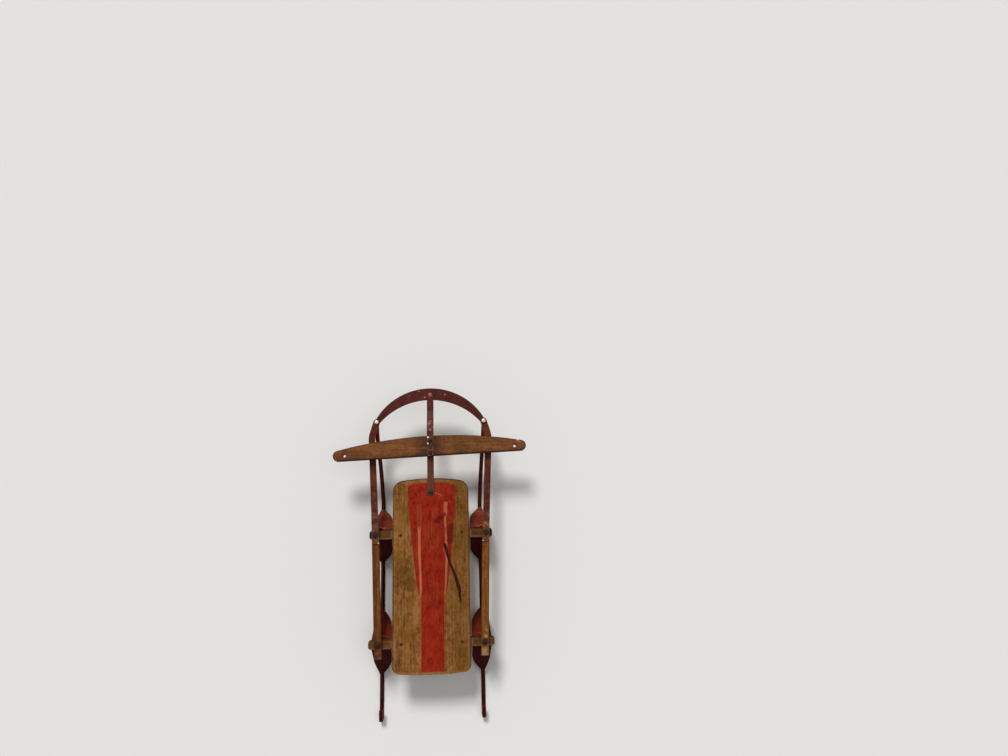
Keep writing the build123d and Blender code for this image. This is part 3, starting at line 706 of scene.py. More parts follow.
metals = {
    "darkBolt": {"Steel": (46, 34, 25), "Shade": (16, 10, 7), "Rust": (34, 18, 10), "Rusty": 0.45, "Shine": 0.06},
    "screwSteel": {"Steel": (62, 34, 12), "Shade": (30, 15, 6), "Rust": (54, 26, 10), "Rusty": 0.6, "Shine": 0.0},
    "brightRivet": {"Steel": (228, 220, 206), "Shade": (150, 134, 118), "Rust": (120, 92, 70), "Rusty": 0.12,
                    "Shine": 0.55},
    "pinkRivet": {"Steel": (168, 104, 92), "Shade": (92, 40, 32), "Rust": (76, 30, 22), "Rusty": 0.2, "Shine": 0.15},
}
metalGloss = {"darkBolt": 0.15, "screwSteel": 0.1, "brightRivet": 0.5, "pinkRivet": 0.2}

deckWood = makeDeckPaint(deckPaint)
railWood = makeRailWood(railFinish)
crosspieceWood = makeCrosspieceWood(crosspieceFinish)
barWood = makeBarWood(barFinish)
stripPaint, bowPaint = makeStripPaint(), makeBowPaint()
frontStrapPaint, rearStrapPaint = makeFrontStrapPaint(), makeRearStrapPaint()
runnerPaint, kneePaint = makeRunnerPaint(), makeKneePaint(kneeScuffs)
darkBolt, screwSteel, brightRivet, pinkRivet = (
    Coat(name, oldSteel, values).finish(metalGloss[name], 0.2, values["Shine"] > 0)
    for name, values in metals.items())
print("materials are made")

# ---- helpers for meshes ----

edgeSteps = [v * mm for v in (0.0, 0.35, 0.8, 1.4, 2.2, 3.2, 5.0)]  # rows near a board's border
thinSteps = [v * mm for v in (0.0, 0.15, 0.35, 0.7, 1.3, 2.4)]  # the same for flat steel
roundTurns = [math.radians(v) for v in (15, 30, 44, 56, 66, 74, 80, 85, 90)]  # rows of a round end
sides = ((1, "Right"), (-1, "Left"))


def lumps(*spot):
    return noise.noise(Vector(spot))


def turned(x, y, angle):
    return x * math.cos(angle) - y * math.sin(angle), x * math.sin(angle) + y * math.cos(angle)


def limited(value, low, high):
    return min(max(value, low), high)


def smoothShade(mesh, sharp=38):
    for polygon in mesh.polygons:
        polygon.use_smooth = True
    mesh.set_sharp_from_angle(angle=math.radians(sharp))


def cleanPiece(name, points, faces, edges=(), material=None, sharp=38):
    # A closed mesh: doubles merged and faces turned outwards. edges is the wear of each point
    mesh = bpy.data.meshes.new(name)
    mesh.from_pydata([tuple(point) for point in points], [], faces)
    wear = mesh.attributes.new("edge", "FLOAT", "POINT")
    if edges:
        wear.data.foreach_set("value", edges)
    body = bmesh.new()
    body.from_mesh(mesh)
    bmesh.ops.remove_doubles(body, verts=body.verts, dist=2e-6)
    bmesh.ops.dissolve_degenerate(body, edges=body.edges, dist=1e-7)
    bmesh.ops.recalc_face_normals(body, faces=body.faces)
    body.to_mesh(mesh)
    body.free()
    smoothShade(mesh, sharp)
    if material:
        mesh.materials.append(material)
    return addObject(name, mesh)


def tubeFaces(count, size):
    # Faces between count rings of size points each
    return [(i + k, i + (k + 1) % size, i + size + (k + 1) % size, i + size + k)
            for i in range(0, (count - 1) * size, size) for k in range(size)]


def latheMesh(profile, segments, squareness=None):
    # Turns (radius, height) steps about Z. squareness limits each radius to a square of that half width
    points = []
    for radius, height in profile:
        for k in range(segments):
            c, s = math.cos(2 * math.pi * k / segments), math.sin(2 * math.pi * k / segments)
            r = min(radius, squareness / max(abs(c), abs(s))) if squareness else radius
            points.append(Vector((r * c, r * s, height)))
    return points, tubeFaces(len(profile), segments)


def addShells(mesh, shells, sharp=38):
    # Adds closed shells to a mesh. Each is a list of rings, and a ring its points and their wear
    body = bmesh.new()
    body.from_mesh(mesh)
    layer = body.verts.layers.float.get("edge") or body.verts.layers.float.new("edge")
    for shell in shells:
        rings = []
        for points, wear in shell:
            rings.append([body.verts.new(Vector(point) * mm) for point in points])
            for vert in rings[-1]:
                vert[layer] = wear
        for before, after in zip(rings, rings[1:]):
            for k in range(len(before)):
                body.faces.new((before[k - 1], before[k], after[k], after[k - 1]))
        body.faces.new(rings[0])
        body.faces.new(rings[-1])
    bmesh.ops.recalc_face_normals(body, faces=body.faces)
    body.to_mesh(mesh)
    body.free()
    smoothShade(mesh, sharp)


def ride(piece, body, slot, *nodes):
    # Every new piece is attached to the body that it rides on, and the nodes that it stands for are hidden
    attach(piece, body)
    if nodes:
        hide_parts(*nodes)


def outlineDistance(points, start):
    # Distance of each plan point to the closed outline
    way = np.roll(start, -1, axis=0) - start
    length = np.maximum((way ** 2).sum(1), 1e-18)
    best = np.full(len(points), 1e9)
    for a, d, l in zip(start, way, length):
        t = np.clip(((points - a) @ d) / l, 0, 1)
        best = np.minimum(best, np.hypot(*(points - a - t[:, None] * d).T))
    return best


def acrossRow(left, right, insets, count, bend=None):
    # Plan points from left to right, close together near both borders
    left, right = np.asarray(left, float), np.asarray(right, float)
    length = float(np.linalg.norm(right - left))
    near = [inset * min(1.0, length / (insets[-1] * 2.2)) for inset in insets]
    inner = list(np.linspace(near[-1], length - near[-1], count + 2))[1:-1]
    way = (right - left) / length if length > 1e-9 else np.zeros(2)
    row = [left + way * stop for stop in near + inner + [length - value for value in reversed(near)]]
    return [np.array((x, y + bend(x))) for x, y in row] if bend else row


def plateMesh(name, rows, values, wrap, wear, material, band=4.0):
    # A plate over a ladder of plan rows. Its rims are rounded by ease, wrap bends it into place,
    # wear lowers its faces near the border, and the edge attribute fades out over the band
    thick, ease = values["thick"] * mm, values["ease"] * mm
    count, across = len(rows), len(rows[0])
    plan = np.array([point for row in rows for point in row])
    ring = [i * across for i in range(count)] + [(count - 1) * across + j for j in range(1, across)]
    ring += [i * across + across - 1 for i in range(count - 2, -1, -1)] + list(range(across - 2, 0, -1))
    away = outlineDistance(plan, plan[ring])
    points, edges = [], []
    for level in (1, -1):
        for (a, b), d in zip(plan, away):
            drop = ease - math.sqrt(max(ease ** 2 - (ease - d) ** 2, 0)) if d < ease else 0.0
            if wear:
                drop += wear(a, b, d, level)
            drop = min(drop, thick * 0.46)
            points.append(wrap(a, b, thick - drop if level > 0 else drop))
            edges.append(max(0.0, 1 - d / (band * mm)))
    faces, half = [], len(plan)
    for i in range(count - 1):
        for a in range(i * across, i * across + across - 1):
            faces.append((a, a + 1, a + across + 1, a + across))
            faces.append((a + across + half, a + across + 1 + half, a + 1 + half, a + half))
    for k, index in enumerate(ring):
        points.append(wrap(*plan[index], thick / 2))
        edges.append(0.3)
        n = (k + 1) % len(ring)
        faces.append((index, 2 * half + k, 2 * half + n, ring[n]))
        faces.append((2 * half + k, index + half, ring[n] + half, 2 * half + n))
    return cleanPiece(name, points, faces, edges, material)


# ---- wooden boards ----


# Lumps per metre along a worn border, coarse and fine, and how far the wear reaches inwards. The
# faces inside it are cupped a little, along the grain
borderWear = {
    "coarse": 38, "fine": 150, "reach": 3.5, "cup": 0.12, "cupAcross": 25, "cupAlong": 6, "cupStart": 2.0,
}


def woodWear(seed, values):
    # Softened, uneven borders, deepest at the edge, with a few dents in the top face
    coarse, fine, reach, cup, cupAcross, cupAlong, cupStart = borderWear.values()
    depth, dents = values["wear"] * mm, [[v * mm for v in dent] for dent in values.get("dents", ())]

    def wear(a, b, d, level):
        rough = max(0.0, lumps(a * coarse + seed, b * coarse, level * 5.0)) * 1.4
        rough += 0.35 * max(0.0, lumps(a * fine + seed, b * fine, level * 3.0))
        drop = depth * rough * math.exp(-d / (reach * mm))
        drop += cup * mm * max(0.0, lumps(a * cupAcross, b * cupAlong, seed)) * min(1.0, d / (cupStart * mm))
        for x, y, radius, deep in dents:
            away = math.hypot(a - x, b - y) / radius
            if away < 1 and level > 0:
                drop += deep * (1 - away * away) ** 2
        return drop
    return wear


def roundedRows(half, rear, front, stationCount, across, insets=edgeSteps):
    # Plan rows of a board from its rear to its front. Each end is (station, bulge, corner radius)
    half *= mm

    def endRows(end, sign):
        edgeY, bulge, corner = (v * mm for v in end)
        centre, touchX, touchY = edgeY - sign * corner, half - corner, edgeY
        arc = lambda x: edgeY
        if bulge:
            radius = (half ** 2 + bulge ** 2) / (2 * bulge)
            middle = edgeY - sign * radius
            reach = sign * math.sqrt((radius - corner) ** 2 - (half - corner) ** 2)
            touch = radius / (radius - corner)
            centre, touchX, touchY = middle + reach, (half - corner) * touch, middle + reach * touch
            arc = lambda x: middle + sign * math.sqrt(radius ** 2 - x ** 2)
        depth = abs(touchY - centre)
        steps = [v for v in insets if v < depth * 0.9]
        steps += [depth * share for share in (0.45, 0.62, 0.8, 0.92) if depth * share > steps[-1] * 1.15] + [depth]
        made = []
        for inset in steps:
            x, y, rise = touchX, touchY, depth - inset
            if inset:
                turn = math.asin(min(1.0, rise / corner))
                x, y = half - corner + corner * math.cos(turn), centre + sign * rise
            bend = lambda px: (arc(min(abs(px), touchX)) - arc(min(x, touchX))) * rise / depth
            made.append(acrossRow((-x, y), (x, y), insets, across, bend))
        return made, centre

    (frontRows, frontY), (rearRows, rearY) = endRows(front, 1), endRows(rear, -1)
    between = np.linspace(rearY, frontY, stationCount + 2)[1:-1]
    return rearRows + [acrossRow((-half, y), (half, y), insets, across) for y in between] + frontRows[::-1]


deckValues = {
    "half": 106.5, "bottom": 105.0, "thick": 11.0, "ease": 3.2, "band": 8.0, "wear": 1.1, "splinter": 2.2,
    "rear": (-329.0, 6.0, 20.0), "front": (199.0, 11.0, 30.0),  # station, bulge, corner radius
    # x, y, radius, depth of knocks on the top face
    "dents": [(-62, 75, 3.0, 0.5), (88, 40, 5.0, 0.6), (-92, -120, 4.0, 0.5), (70, -250, 6.0, 0.5),
              (-101, 160, 6.0, 0.8), (98, -310, 8.0, 1.2), (-30, 196, 6.0, 0.9), (55, -327, 9.0, 1.3)],
}


def makeDeck(values):
    rows = roundedRows(values["half"], values["rear"], values["front"], 120, 34)

    def wrap(a, b, h):
        # The tail is splintered: its border steps inwards unevenly
        rough = max(0.0, lumps(a * 130, h * 90, 4.0) + 0.15) + 0.5 * abs(lumps(a * 420, h * 200, 1.0))
        inwards = values["splinter"] * rough * math.exp((values["rear"][0] - b / mm) / 2.5)
        return Vector((a, b + inwards * mm, values["bottom"] * mm + h))

    deck = plateMesh("deckBoard", rows, values, wrap, woodWear(3.1, values), deckWood, values["band"])
    ride(deck, "frame", "deck_wood", "deck")


crosspieceValues = {
    "half": 12.5, "long": 172.0, "corner": 8.0, "bottom": 86.0, "thick": 19.0, "ease": 2.8, "wear": 1.0,
    "stations": {"Front": (44.0, 7.7), "Rear": (-248.0, 5.2)},  # and the wear's seed
}


def makeCrosspieces(values):
    rear, front = ((end * values["long"], 0, values["corner"]) for end in (-1, 1))
    for label, (y, seed) in values["stations"].items():
        rows = roundedRows(values["half"], rear, front, 90, 5)
        wrap = lambda a, b, h: Vector((b, y * mm - a, values["bottom"] * mm + h))
        board = plateMesh("crosspiece" + label, rows, values, wrap, woodWear(seed, values), crosspieceWood)
        ride(board, "frame", "crosspiece_wood", "crosspiece_" + label.lower())


railValues = {
    "half": 10.25, "corner": 2.2, "bottom": 105.0, "thick": 14.0, "ease": 2.6, "wear": 1.3,
    "rearY": -284.5, "frontY": 83.5, "bolt": (154.0, 44.0), "rearX": 144.2, "seeds": {"Right": 11.3, "Left": 23.9},
    "dents": [(6, 20, 5, 1.2), (-8, 130, 4, 0.9), (7, 240, 5, 0.7)],
}


def makeRails(values):
    boltX, boltY = values["bolt"]
    lean = (boltX - values["rearX"]) / (boltY - values["rearY"])
    rearEnd, frontEnd = (Vector((boltX + lean * (y - boltY), y)) * mm for y in (values["rearY"], values["frontY"]))
    long, way = (frontEnd - rearEnd).length, (frontEnd - rearEnd).normalized()
    across = Vector((way.y, -way.x))
    for side, label in sides:
        rows = roundedRows(values["half"], (0, 0, values["corner"]), (long / mm, 0, values["corner"]), 110, 5,
                           edgeSteps[:6])

        def wrap(a, b, h):
            spot = rearEnd + across * a + way * b
            return Vector((side * spot.x, spot.y, values["bottom"] * mm + h))

        rail = plateMesh("rail" + label, rows, values, wrap, woodWear(values["seeds"][label], values), railWood)
        ride(rail, "frame", "rail_wood", "rail_" + label.lower())


barValues = {
    "long": 547.8, "back": 14.6, "front": 43.5, "endWide": 31.0, "y": 274.0, "skew": 2.43,
    "bottom": 122.8, "thick": 16.0, "ease": 3.6, "wear": 1.3, "holeX": 241.0, "hole": 4.3, "holeRim": 1.1,
    "dents": [(249, 19, 7.0, 3.4), (-120, 33, 6.0, 1.2), (-40, 41, 5.0, 1.0), (60, 40, 9.0, 0.8),
              (-262, -6, 6.0, 1.1), (190, -13, 8.0, 0.9), (-200, 24, 7.0, 1.0)],
}


def makeBar(values):
    radius, tip = values["endWide"] / 2, values["long"] / 2
    endX, endY = tip - radius, radius - values["back"]
    drop = values["front"] - endY
    front = (endX ** 2 + drop ** 2 - radius ** 2) / (2 * (drop - radius))  # radius of the bowed front
    touchX = endX * front / (front - radius)

    def borders(x):
        far = min(abs(x), tip)
        end = math.sqrt(max(radius ** 2 - (far - endX) ** 2, 0)) if far > endX else radius
        ahead = values["front"] - front + math.sqrt(front ** 2 - far ** 2) if far < touchX else endY + end
        return endY - end if far > endX else -values["back"], ahead

    ends = [tip - radius * (1 - math.sin(math.radians(v))) for v in (12, 24, 36, 47, 57, 66, 73, 79, 84, 87.5, 90)]
    rows = []
    for x in [-x for x in reversed(ends)] + list(np.linspace(-endX, endX, 150)) + ends:
        back, ahead = borders(x)
        rows.append(acrossRow((x * mm, back * mm), (x * mm, max(ahead, back) * mm), edgeSteps, 9))

    def wrap(a, b, h):
        x, y = turned(a, b, math.radians(values["skew"]))
        return Vector((x, y + values["y"] * mm, values["bottom"] * mm + h))

    bar = plateMesh("steeringBar", rows, values, wrap, woodWear(41.7, values), barWood)
    # The rope holes, with rims rubbed open
    r, t, rim = (values[key] * mm for key in ("hole", "thick", "holeRim"))
    profile = [(0, -t), (r + rim + t, -t), (r + rim, 0), (r + rim * 0.3, rim * 0.5), (r, rim * 1.4),
               (r, t - rim * 1.4), (r + rim * 0.3, t - rim * 0.5), (r + rim, t), (r + rim + t, 2 * t), (0, 2 * t)]
    for side in (-1, 1):
        points, faces = latheMesh(profile, 40)
        place = wrap(side * values["holeX"] * mm, 0, 0)
        cutter = cleanPiece("ropeHoleCutter", [point + place for point in points], faces)
        modifier = bar.modifiers.new("ropeHole", "BOOLEAN")
        modifier.operation, modifier.solver, modifier.object = "DIFFERENCE", "EXACT", cutter
        drilled = bpy.data.meshes.new_from_object(bar.evaluated_get(bpy.context.evaluated_depsgraph_get()))
        bar.modifiers.clear()
        bar.data = drilled
        bpy.data.objects.remove(cutter)
    drilled.name = "steeringBar"
    smoothShade(drilled)
    ride(bar, "lever", "bar_wood", "steering_bar")


makeDeck(deckValues)
makeCrosspieces(crosspieceValues)
makeRails(railValues)
makeBar(barValues)
print("wooden boards are made")

# ---- flat steel: bow, strips and straps ----

flatSteel = {"half": 9.5, "thick": 3.0, "ease": 0.75, "ripple": 0.12, "band": 2.2}


def makeFlat(name, rows, wrap, seed, material, body, node):
    # Flat bar stock is never quite flat: its faces have shallow ripples, always downwards
    wear = lambda a, b, d, level: flatSteel["ripple"] * mm * max(0.0, lumps(a * 20 + seed, b * 20, level))
    ride(plateMesh(name, rows, flatSteel, wrap, wear, material, flatSteel["band"]), body, "strap_steel", node)


def bentPath(points, radii, step):
    # Points along a line whose corners are rounded by the radii, with its direction at each
    points = [Vector(point) for point in points]
    line, start = [], points[0]
    for before, corner, after, radius in zip(points, points[1:], points[2:], radii):
        into, onward = (corner - before).normalized(), (after - corner).normalized()
        sign = 1 if into.cross(onward) > 0 else -1
        angle = abs(into.angle_signed(onward))
        back = radius * math.tan(angle / 2)
        first = corner - into * back
        count = max(1, round((first - start).length / step))
        line += [(start.lerp(first, k / count), into) for k in range(count)]
        spoke = Vector((into.y, -into.x)) * (sign * radius)
        arcCount = max(4, round(angle * radius / step))
        for k in range(arcCount):
            a = sign * angle * k / arcCount
            line.append((first - spoke + Vector(turned(*spoke, a)), Vector(turned(*into, a))))
        start = corner + onward * back
    onward = (points[-1] - points[-2]).normalized()
    count = max(1, round((points[-1] - start).length / step))
    return line + [(start.lerp(points[-1], k / count), onward) for k in range(count + 1)]


def ribbonRows(line, half, roundRear):
    # Rows across a strap that follows a plan line. Its front end is round, its rear round or square
    def row(point, way, ahead=0.0, wide=half):
        middle, side = point + way * ahead, Vector((way.y, -way.x)) * wide
        return acrossRow(middle - side, middle + side, thinSteps, 5)

    rounds = [(half * math.sin(a), half * math.cos(a)) for a in roundTurns]
    point, way = line[0]
    if roundRear:
        rear = [row(point, way, -ahead, wide) for ahead, wide in reversed(rounds)]
    else:
        length = (line[1][0] - point).length
        rear = [row(point, way, inset) for inset in thinSteps[:-1] if inset < length * 0.9]
        line = [(point + way * length * 0.999, way)] + line[2:]
    return rear + [row(*item) for item in line] + [row(*line[-1], ahead, wide) for ahead, wide in rounds]


def climbing(y, first, last, start, end):
    # Height of a strap that changes level between two stations, with soft bends
    t, soft = limited((y - start) / (end - start), 0, 1), 0.16
    if t < soft:
        share = t * t / (2 * soft)
    elif t > 1 - soft:
        share = 1 - soft - (1 - t) ** 2 / (2 * soft)
    else:
        share = t - soft / 2
    return first + (last - first) * share / (1 - soft)


bowValues = {
    "outer": 180.0, "inner": 192.0, "wide": 35.0, "tip": 460.0, "rivetX": 154.0, "rivetY": 362.5, "end": 8.6,
    "bottom": 116.0,
}


def makeBow(values):
    # A crescent between two circles, cut along rays from an apex on the middle line
    outerY, innerY = values["tip"] - values["outer"], values["tip"] - values["wide"] - values["inner"]
    slope = (values["rivetY"] - outerY + values["end"]) / values["rivetX"]
    apex, first = values["rivetY"] - slope * values["rivetX"], math.atan(slope)

    def onCircle(angle, centreY, radius):
        dy = apex - centreY
        b = dy * math.sin(angle)
        far = -b + math.sqrt(b * b - dy * dy + radius * radius)
        return Vector((far * math.cos(angle), apex + far * math.sin(angle)))

    def roundEnd(near, far, side):
        away, half = Vector((side * math.sin(first), -math.cos(first))) * values["end"], (far - near) / 2
        middles = [((near + far) / 2 + away * math.sin(a), half * math.cos(a)) for a in roundTurns]
        return [(middle - reach, middle + reach) for middle, reach in middles]

    pairs = [(onCircle(angle, innerY, values["inner"]), onCircle(angle, outerY, values["outer"]))
             for angle in np.linspace(first, math.pi - first, 150)]
    pairs = roundEnd(*pairs[0], 1)[::-1] + pairs + roundEnd(*pairs[-1], -1)
    rows = [acrossRow(near * mm, far * mm, thinSteps, 6) for near, far in pairs]
    wrap = lambda a, b, h: Vector((a, b, values["bottom"] * mm + h))
    makeFlat("bowPlate", rows, wrap, 2.0, bowPaint, "bow", "bow")


# A plan line and its bend, the rows' spacing, and the strap's heights at the rear and the front
# with the stations between which it climbs
stripValues = {
    "line": [(152.8, 19.0), (167.26, 320.0), (154.0, 362.5)], "bends": [70.0], "step": 3.0, "roundRear": False,
    "climb": (119.3, 112.7, 88.4, 105.2),
}
frontStrapValues = {
    "line": [(0, 268.5), (0, 439.5)], "bends": [], "step": 2.5, "roundRear": True,
    "climb": (138.8, 119.3, 327.0, 396.5),
}
rearStrapValues = {
    "line": [(0, 159.0), (0, 303.5)], "bends": [], "step": 2.5, "roundRear": True,
    "climb": (116.3, 119.8, 214.0, 244.4),
}


def makeStrap(name, values, seed, material, body, node, side=1):
    line = bentPath([(x * mm, y * mm) for x, y in values["line"]], [v * mm for v in values["bends"]],
                    values["step"] * mm)
    wrap = lambda a, b, h: Vector((side * a, b, climbing(b / mm, *values["climb"]) * mm + h))
    rows = ribbonRows(line, flatSteel["half"] * mm, values["roundRear"])
    makeFlat(name, rows, wrap, seed, material, body, node)


makeBow(bowValues)
for side, label in sides:
    makeStrap("sideStrip" + label, stripValues, 4.0 + side, stripPaint, label.lower() + "_link",
              "strip_" + label.lower(), side)
makeStrap("frontStrap", frontStrapValues, 9.0, frontStrapPaint, "lever", "front_strap")
makeStrap("rearStrap", rearStrapValues, 12.0, rearStrapPaint, "lever", "rear_strap")
print("bow, strips and straps are made")

# ---- runners ----

runnerValues = {
    "x": 142.0, "eyeX": 154.0, "eyeY": 362.5, "eye": 8.0, "eyeLand": 16.5, "flareLong": 222.5, "eyeTop": 112.4,
    "treadWide": 11.5, "tread": 3.2, "web": 3.0, "high": 20.0, "tailY": -460.0, "tailRadius": 14.0,
    "tailReach": 35.0, "webStart": 44.0, "webRunout": 22.0, "rise": 45.0, "crest": 80.0, "sweepStart": 119.0,
    "edge": 0.55, "root": 1.4, "bendStart": 120.0, "tailPinch": 0.3,
    # turns, in degrees, at which the eye's round end has a station
    "eyeTurns": (-90, -75, -60, -46, -32, -16, 0, 16, 32, 46, 58, 68, 76, 82, 86, 89),
}


def makeRunners(values):
    tread, high, tail, eyeY, eye = (values[key] for key in ("tread", "high", "tailY", "eyeY", "eye"))
    under = values["eyeTop"] - tread
    tangent = math.tan(math.radians(values["rise"] / 2))
    crestY = eyeY - values["eyeLand"] - values["crest"] * tangent
    footY = crestY - under / math.tan(math.radians(values["rise"]))
    riseRadius = (footY - values["sweepStart"]) / tangent
    top, curl, tailEnd = 2 * values["tailRadius"], values["tailRadius"] - 0.05, tail + values["tailReach"]
    line = bentPath([(tailEnd, top), (tail, top), (tail, 0), (footY, 0), (crestY, under), (eyeY + eye, under)],
                    [curl, curl, riseRadius, values["crest"]], 4.0)
    line = [item for item in line if item[0].x < eyeY - eye - 1]
    line += [(Vector((eyeY + eye * math.sin(math.radians(a)), under)), Vector((1, 0))) for a in values["eyeTurns"]]

    def webHigh(y, z):
        # The web runs out before the curled tail and on the rise to the bow
        if z < 0.01 and y < footY:
            up = (y - tail - values["webStart"]) / values["webRunout"]
        elif y < tailEnd + 1:
            up = 0
        else:
            along = (y - footY + z) * math.sqrt(0.5) - riseRadius * tangent - tread
            up = 1 - along / values["webRunout"]
        return limited(0.5 * tread + up * (high - 0.5 * tread), tread, high)

    def section(w, high):
        # Right half of the T on its back, from the sole's middle round to the web's top, each
        # corner (x, height, wear)
        t, r, c = tread, min(values["edge"], w * 0.8), math.sqrt(0.5)
        web, root = min(values["web"] / 2, w * 0.5), min(values["root"], max(high - t, 0) * 0.6)
        rim = min(0.6, max(high - t, 0) * 0.4)
        return [(0, 0, 0.1), (w * 0.6, 0, 0.25), (w - r, 0, 1), (w - r + r * c, r - r * c, 1), (w, r, 1),
                (w, t - r, 1), (w - r + r * c, t - r + r * c, 1), (w - r, t, 1), ((w - r + web + root) / 2, t, 0),
                (web + root, t, 0), (web + root * (1 - c), t + root * (1 - c), 0), (web, t + root, 0),
                (web, t + root + (high - t - root - rim) * 0.8, 0), (web, high - rim, 0.7),
                (web - rim * (1 - c), high - rim * (1 - c), 1), (web - rim, high, 1)]

    for side, label in sides:
        points, edges = [], []
        for point, way in line:
            y, z = point
            width, far = values["treadWide"] / 2, y - eyeY
            if abs(far) < eye and z > under - 0.1:
                disc = math.sqrt(max(eye ** 2 - far ** 2, 0.01))
                width = max(width, disc) if far < 0 else disc
            # The curled tail is hammered narrower round its bend, and its lip is rounded off
            if y < tail + 12:
                width *= 1 - values["tailPinch"] * math.exp(-((y - tail) / 3.0) ** 2)
            if y < 0 and z > top - 0.1 and y - tailEnd > -4:
                width *= math.sqrt(max(1 - ((y - tailEnd + 4) / 4.6) ** 2, 0.05))
            ring = section(width, webHigh(y, z))
            ring += [(-a, b, e) for a, b, e in reversed(ring[1:])]
            for a, b, e in ring:
                spot = point + Vector((-way.y, way.x)) * b
                flare = max(0.0, spot.x - (eyeY - values["flareLong"])) / values["flareLong"]
                x = values["x"] + flare * (values["eyeX"] - values["x"]) + a
                points.append(Vector((side * x, spot.x, spot.y)) * mm)
                edges.append(e)
        size = len(ring)
        faces = tubeFaces(len(line), size) + [tuple(range(size)), tuple(range(len(points) - size, len(points)))]
        runner = cleanPiece("runner" + label, points, faces, edges, runnerPaint, 42)
        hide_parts("runner_" + label.lower())
        side * values["x"] * mm
        values["bendStart"] * mm
        side * values["x"] * mm
        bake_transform(runner)


makeRunners(runnerValues)
print("runners are made")

# ---- knees ----

kneeValues = {
    "top": 86.0, "thick": 2.2, "bend": 8.0, "footBend": 5.0, "back": 16.5, "inner": 31.0, "outer": 22.0,
    "shoulder": 17.0, "footTop": 22.2, "footLong": 20.0, "footDrop": 13.0, "ear": 2.2, "earCorner": 5.0,
    "webHalf": 1.6, "toe": 4.4, "rib": 2.0, "ribWide": 5.6, "seat": 12.7, "runnerX": 142.0, "ease": 0.6, "band": 2.4,
    # station, half length over the feet, where the shoulders start, how far they are eased
    "rows": {"Front": (44.0, 75.0, 52.0, 15.0), "Rear": (-248.0, 86.0, 59.0, 19.0)},
}


def makeKnees(values):
    for label, (y, halfLong, halfFull, easing) in values["rows"].items():
        legEnd, back, footTop = halfLong - values["footLong"] / 2, values["back"], values["footTop"]
        line = bentPath([(-halfLong, footTop), (-legEnd, footTop), (-back, values["top"]), (back, values["top"]),
                         (legEnd, footTop), (halfLong, footTop)],
                        [values["footBend"], values["bend"], values["bend"], values["footBend"]], 2.4)
        stops = np.cumsum([0.0] + [(after[0] - before[0]).length for before, after in zip(line, line[1:])])

        def reach(along, full, ease):
            # Half width on one side: full up to the shoulder, then a straight taper to the toe
            taper = values["toe"] + (full - values["toe"]) * (halfLong - abs(along)) / (halfLong - halfFull)
            blend = max(ease - abs(full - taper), 0) / ease
            return max(min(full, taper) - blend * blend * ease / 4, values["toe"] - 0.6)

        rows = []
        for (point, way), stop in zip(line, stops):
            share = limited((abs(point.x) - back) / (halfFull - back), 0, 1)
            full = values["outer"] + (values["shoulder"] - values["outer"]) * share
            inner, outer = reach(point.x, values["inner"], easing), reach(point.x, full, easing * 0.3)
            rows.append(acrossRow((-inner * mm, stop * mm), (outer * mm, stop * mm), thinSteps, 26))

        def wrap(a, b, h):
            a, b, h = a / mm, b / mm, h / mm
            k = int(np.clip(np.searchsorted(stops, b) - 1, 0, len(line) - 2))
            share = (b - stops[k]) / (stops[k + 1] - stops[k])
            point, way = (before.lerp(after, share) for before, after in zip(line[k], line[k + 1]))
            way.normalize()
            # A rib is pressed outwards down each leg and dies away under the crosspiece and at the foot
            rib = values["rib"] * 0.5 * (1 + math.cos(math.pi * min(abs(a) / values["ribWide"], 1)))
            rib *= limited((abs(point.x) - values["seat"]) / 5.0, 0, 1)
            rib *= limited((legEnd - 2 - abs(point.x)) / 8.0, 0, 1)
            spot = point + Vector((-way.y, way.x)) * (h - values["thick"] + rib)
            return Vector((side * (values["runnerX"] + a), y + spot.x, spot.y)) * mm

        for side, sideLabel in sides:
            knee = plateMesh("knee" + label + sideLabel, rows, values, wrap, None, kneePaint, values["band"])
            addShells(knee.data, [earRings(values, side, cheek, y + end * legEnd) for end in (-1, 1)
                                  for cheek in (-1, 1)])
            ride(knee, "frame", "knee_steel", f"knee_{label.lower()}_{sideLabel.lower()}")


def earRings(values, side, cheek, centre):
    # One of the rounded ears that fold down from each foot and take the runner's web between them
    low = values["footTop"] - values["thick"] - values["footDrop"] + 0.2
    high = values["footTop"] - values["thick"] * 0.4
    half, corner = values["footLong"] / 2 - 0.4, values["earCorner"]
    quarter = [(corner * (1 - math.cos(a)), corner * (1 - math.sin(a))) for a in np.linspace(0.25, math.pi / 2, 6)]
    outline = [(-half, high), (-half, low + corner)] + [(x - half, low + z) for x, z in quarter]
    outline += [(half - x, low + z) for x, z in reversed(quarter)] + [(half, low + corner), (half, high)]
    inner, outer = values["webHalf"], values["webHalf"] + values["ear"]
    shell = []
    for depth, shrink in ((inner, 0.0), (inner + 0.1, 0.0), (outer - 0.55, 0.0), (outer - 0.15, 0.25), (outer, 0.75)):
        ring = [(side * (values["runnerX"] + cheek * depth), centre + x * (1 - shrink / half),
                 z + (shrink if z < high - 1 else 0)) for x, z in outline]
        shell.append((ring, 1.0 if shrink else 0.3))
    return shell


makeKnees(kneeValues)
print("knees are made")

# ---- bolts, nuts and rivets ----

boltValues = {
    "shank": 3.1, "thread": 2.75, "pitch": 1.0, "nutHalf": 5.25, "nutHigh": 5.0, "proud": 2.45,
    "headRadius": 7.0, "headHigh": 3.0, "headLip": 0.35, "segments": 48,
}
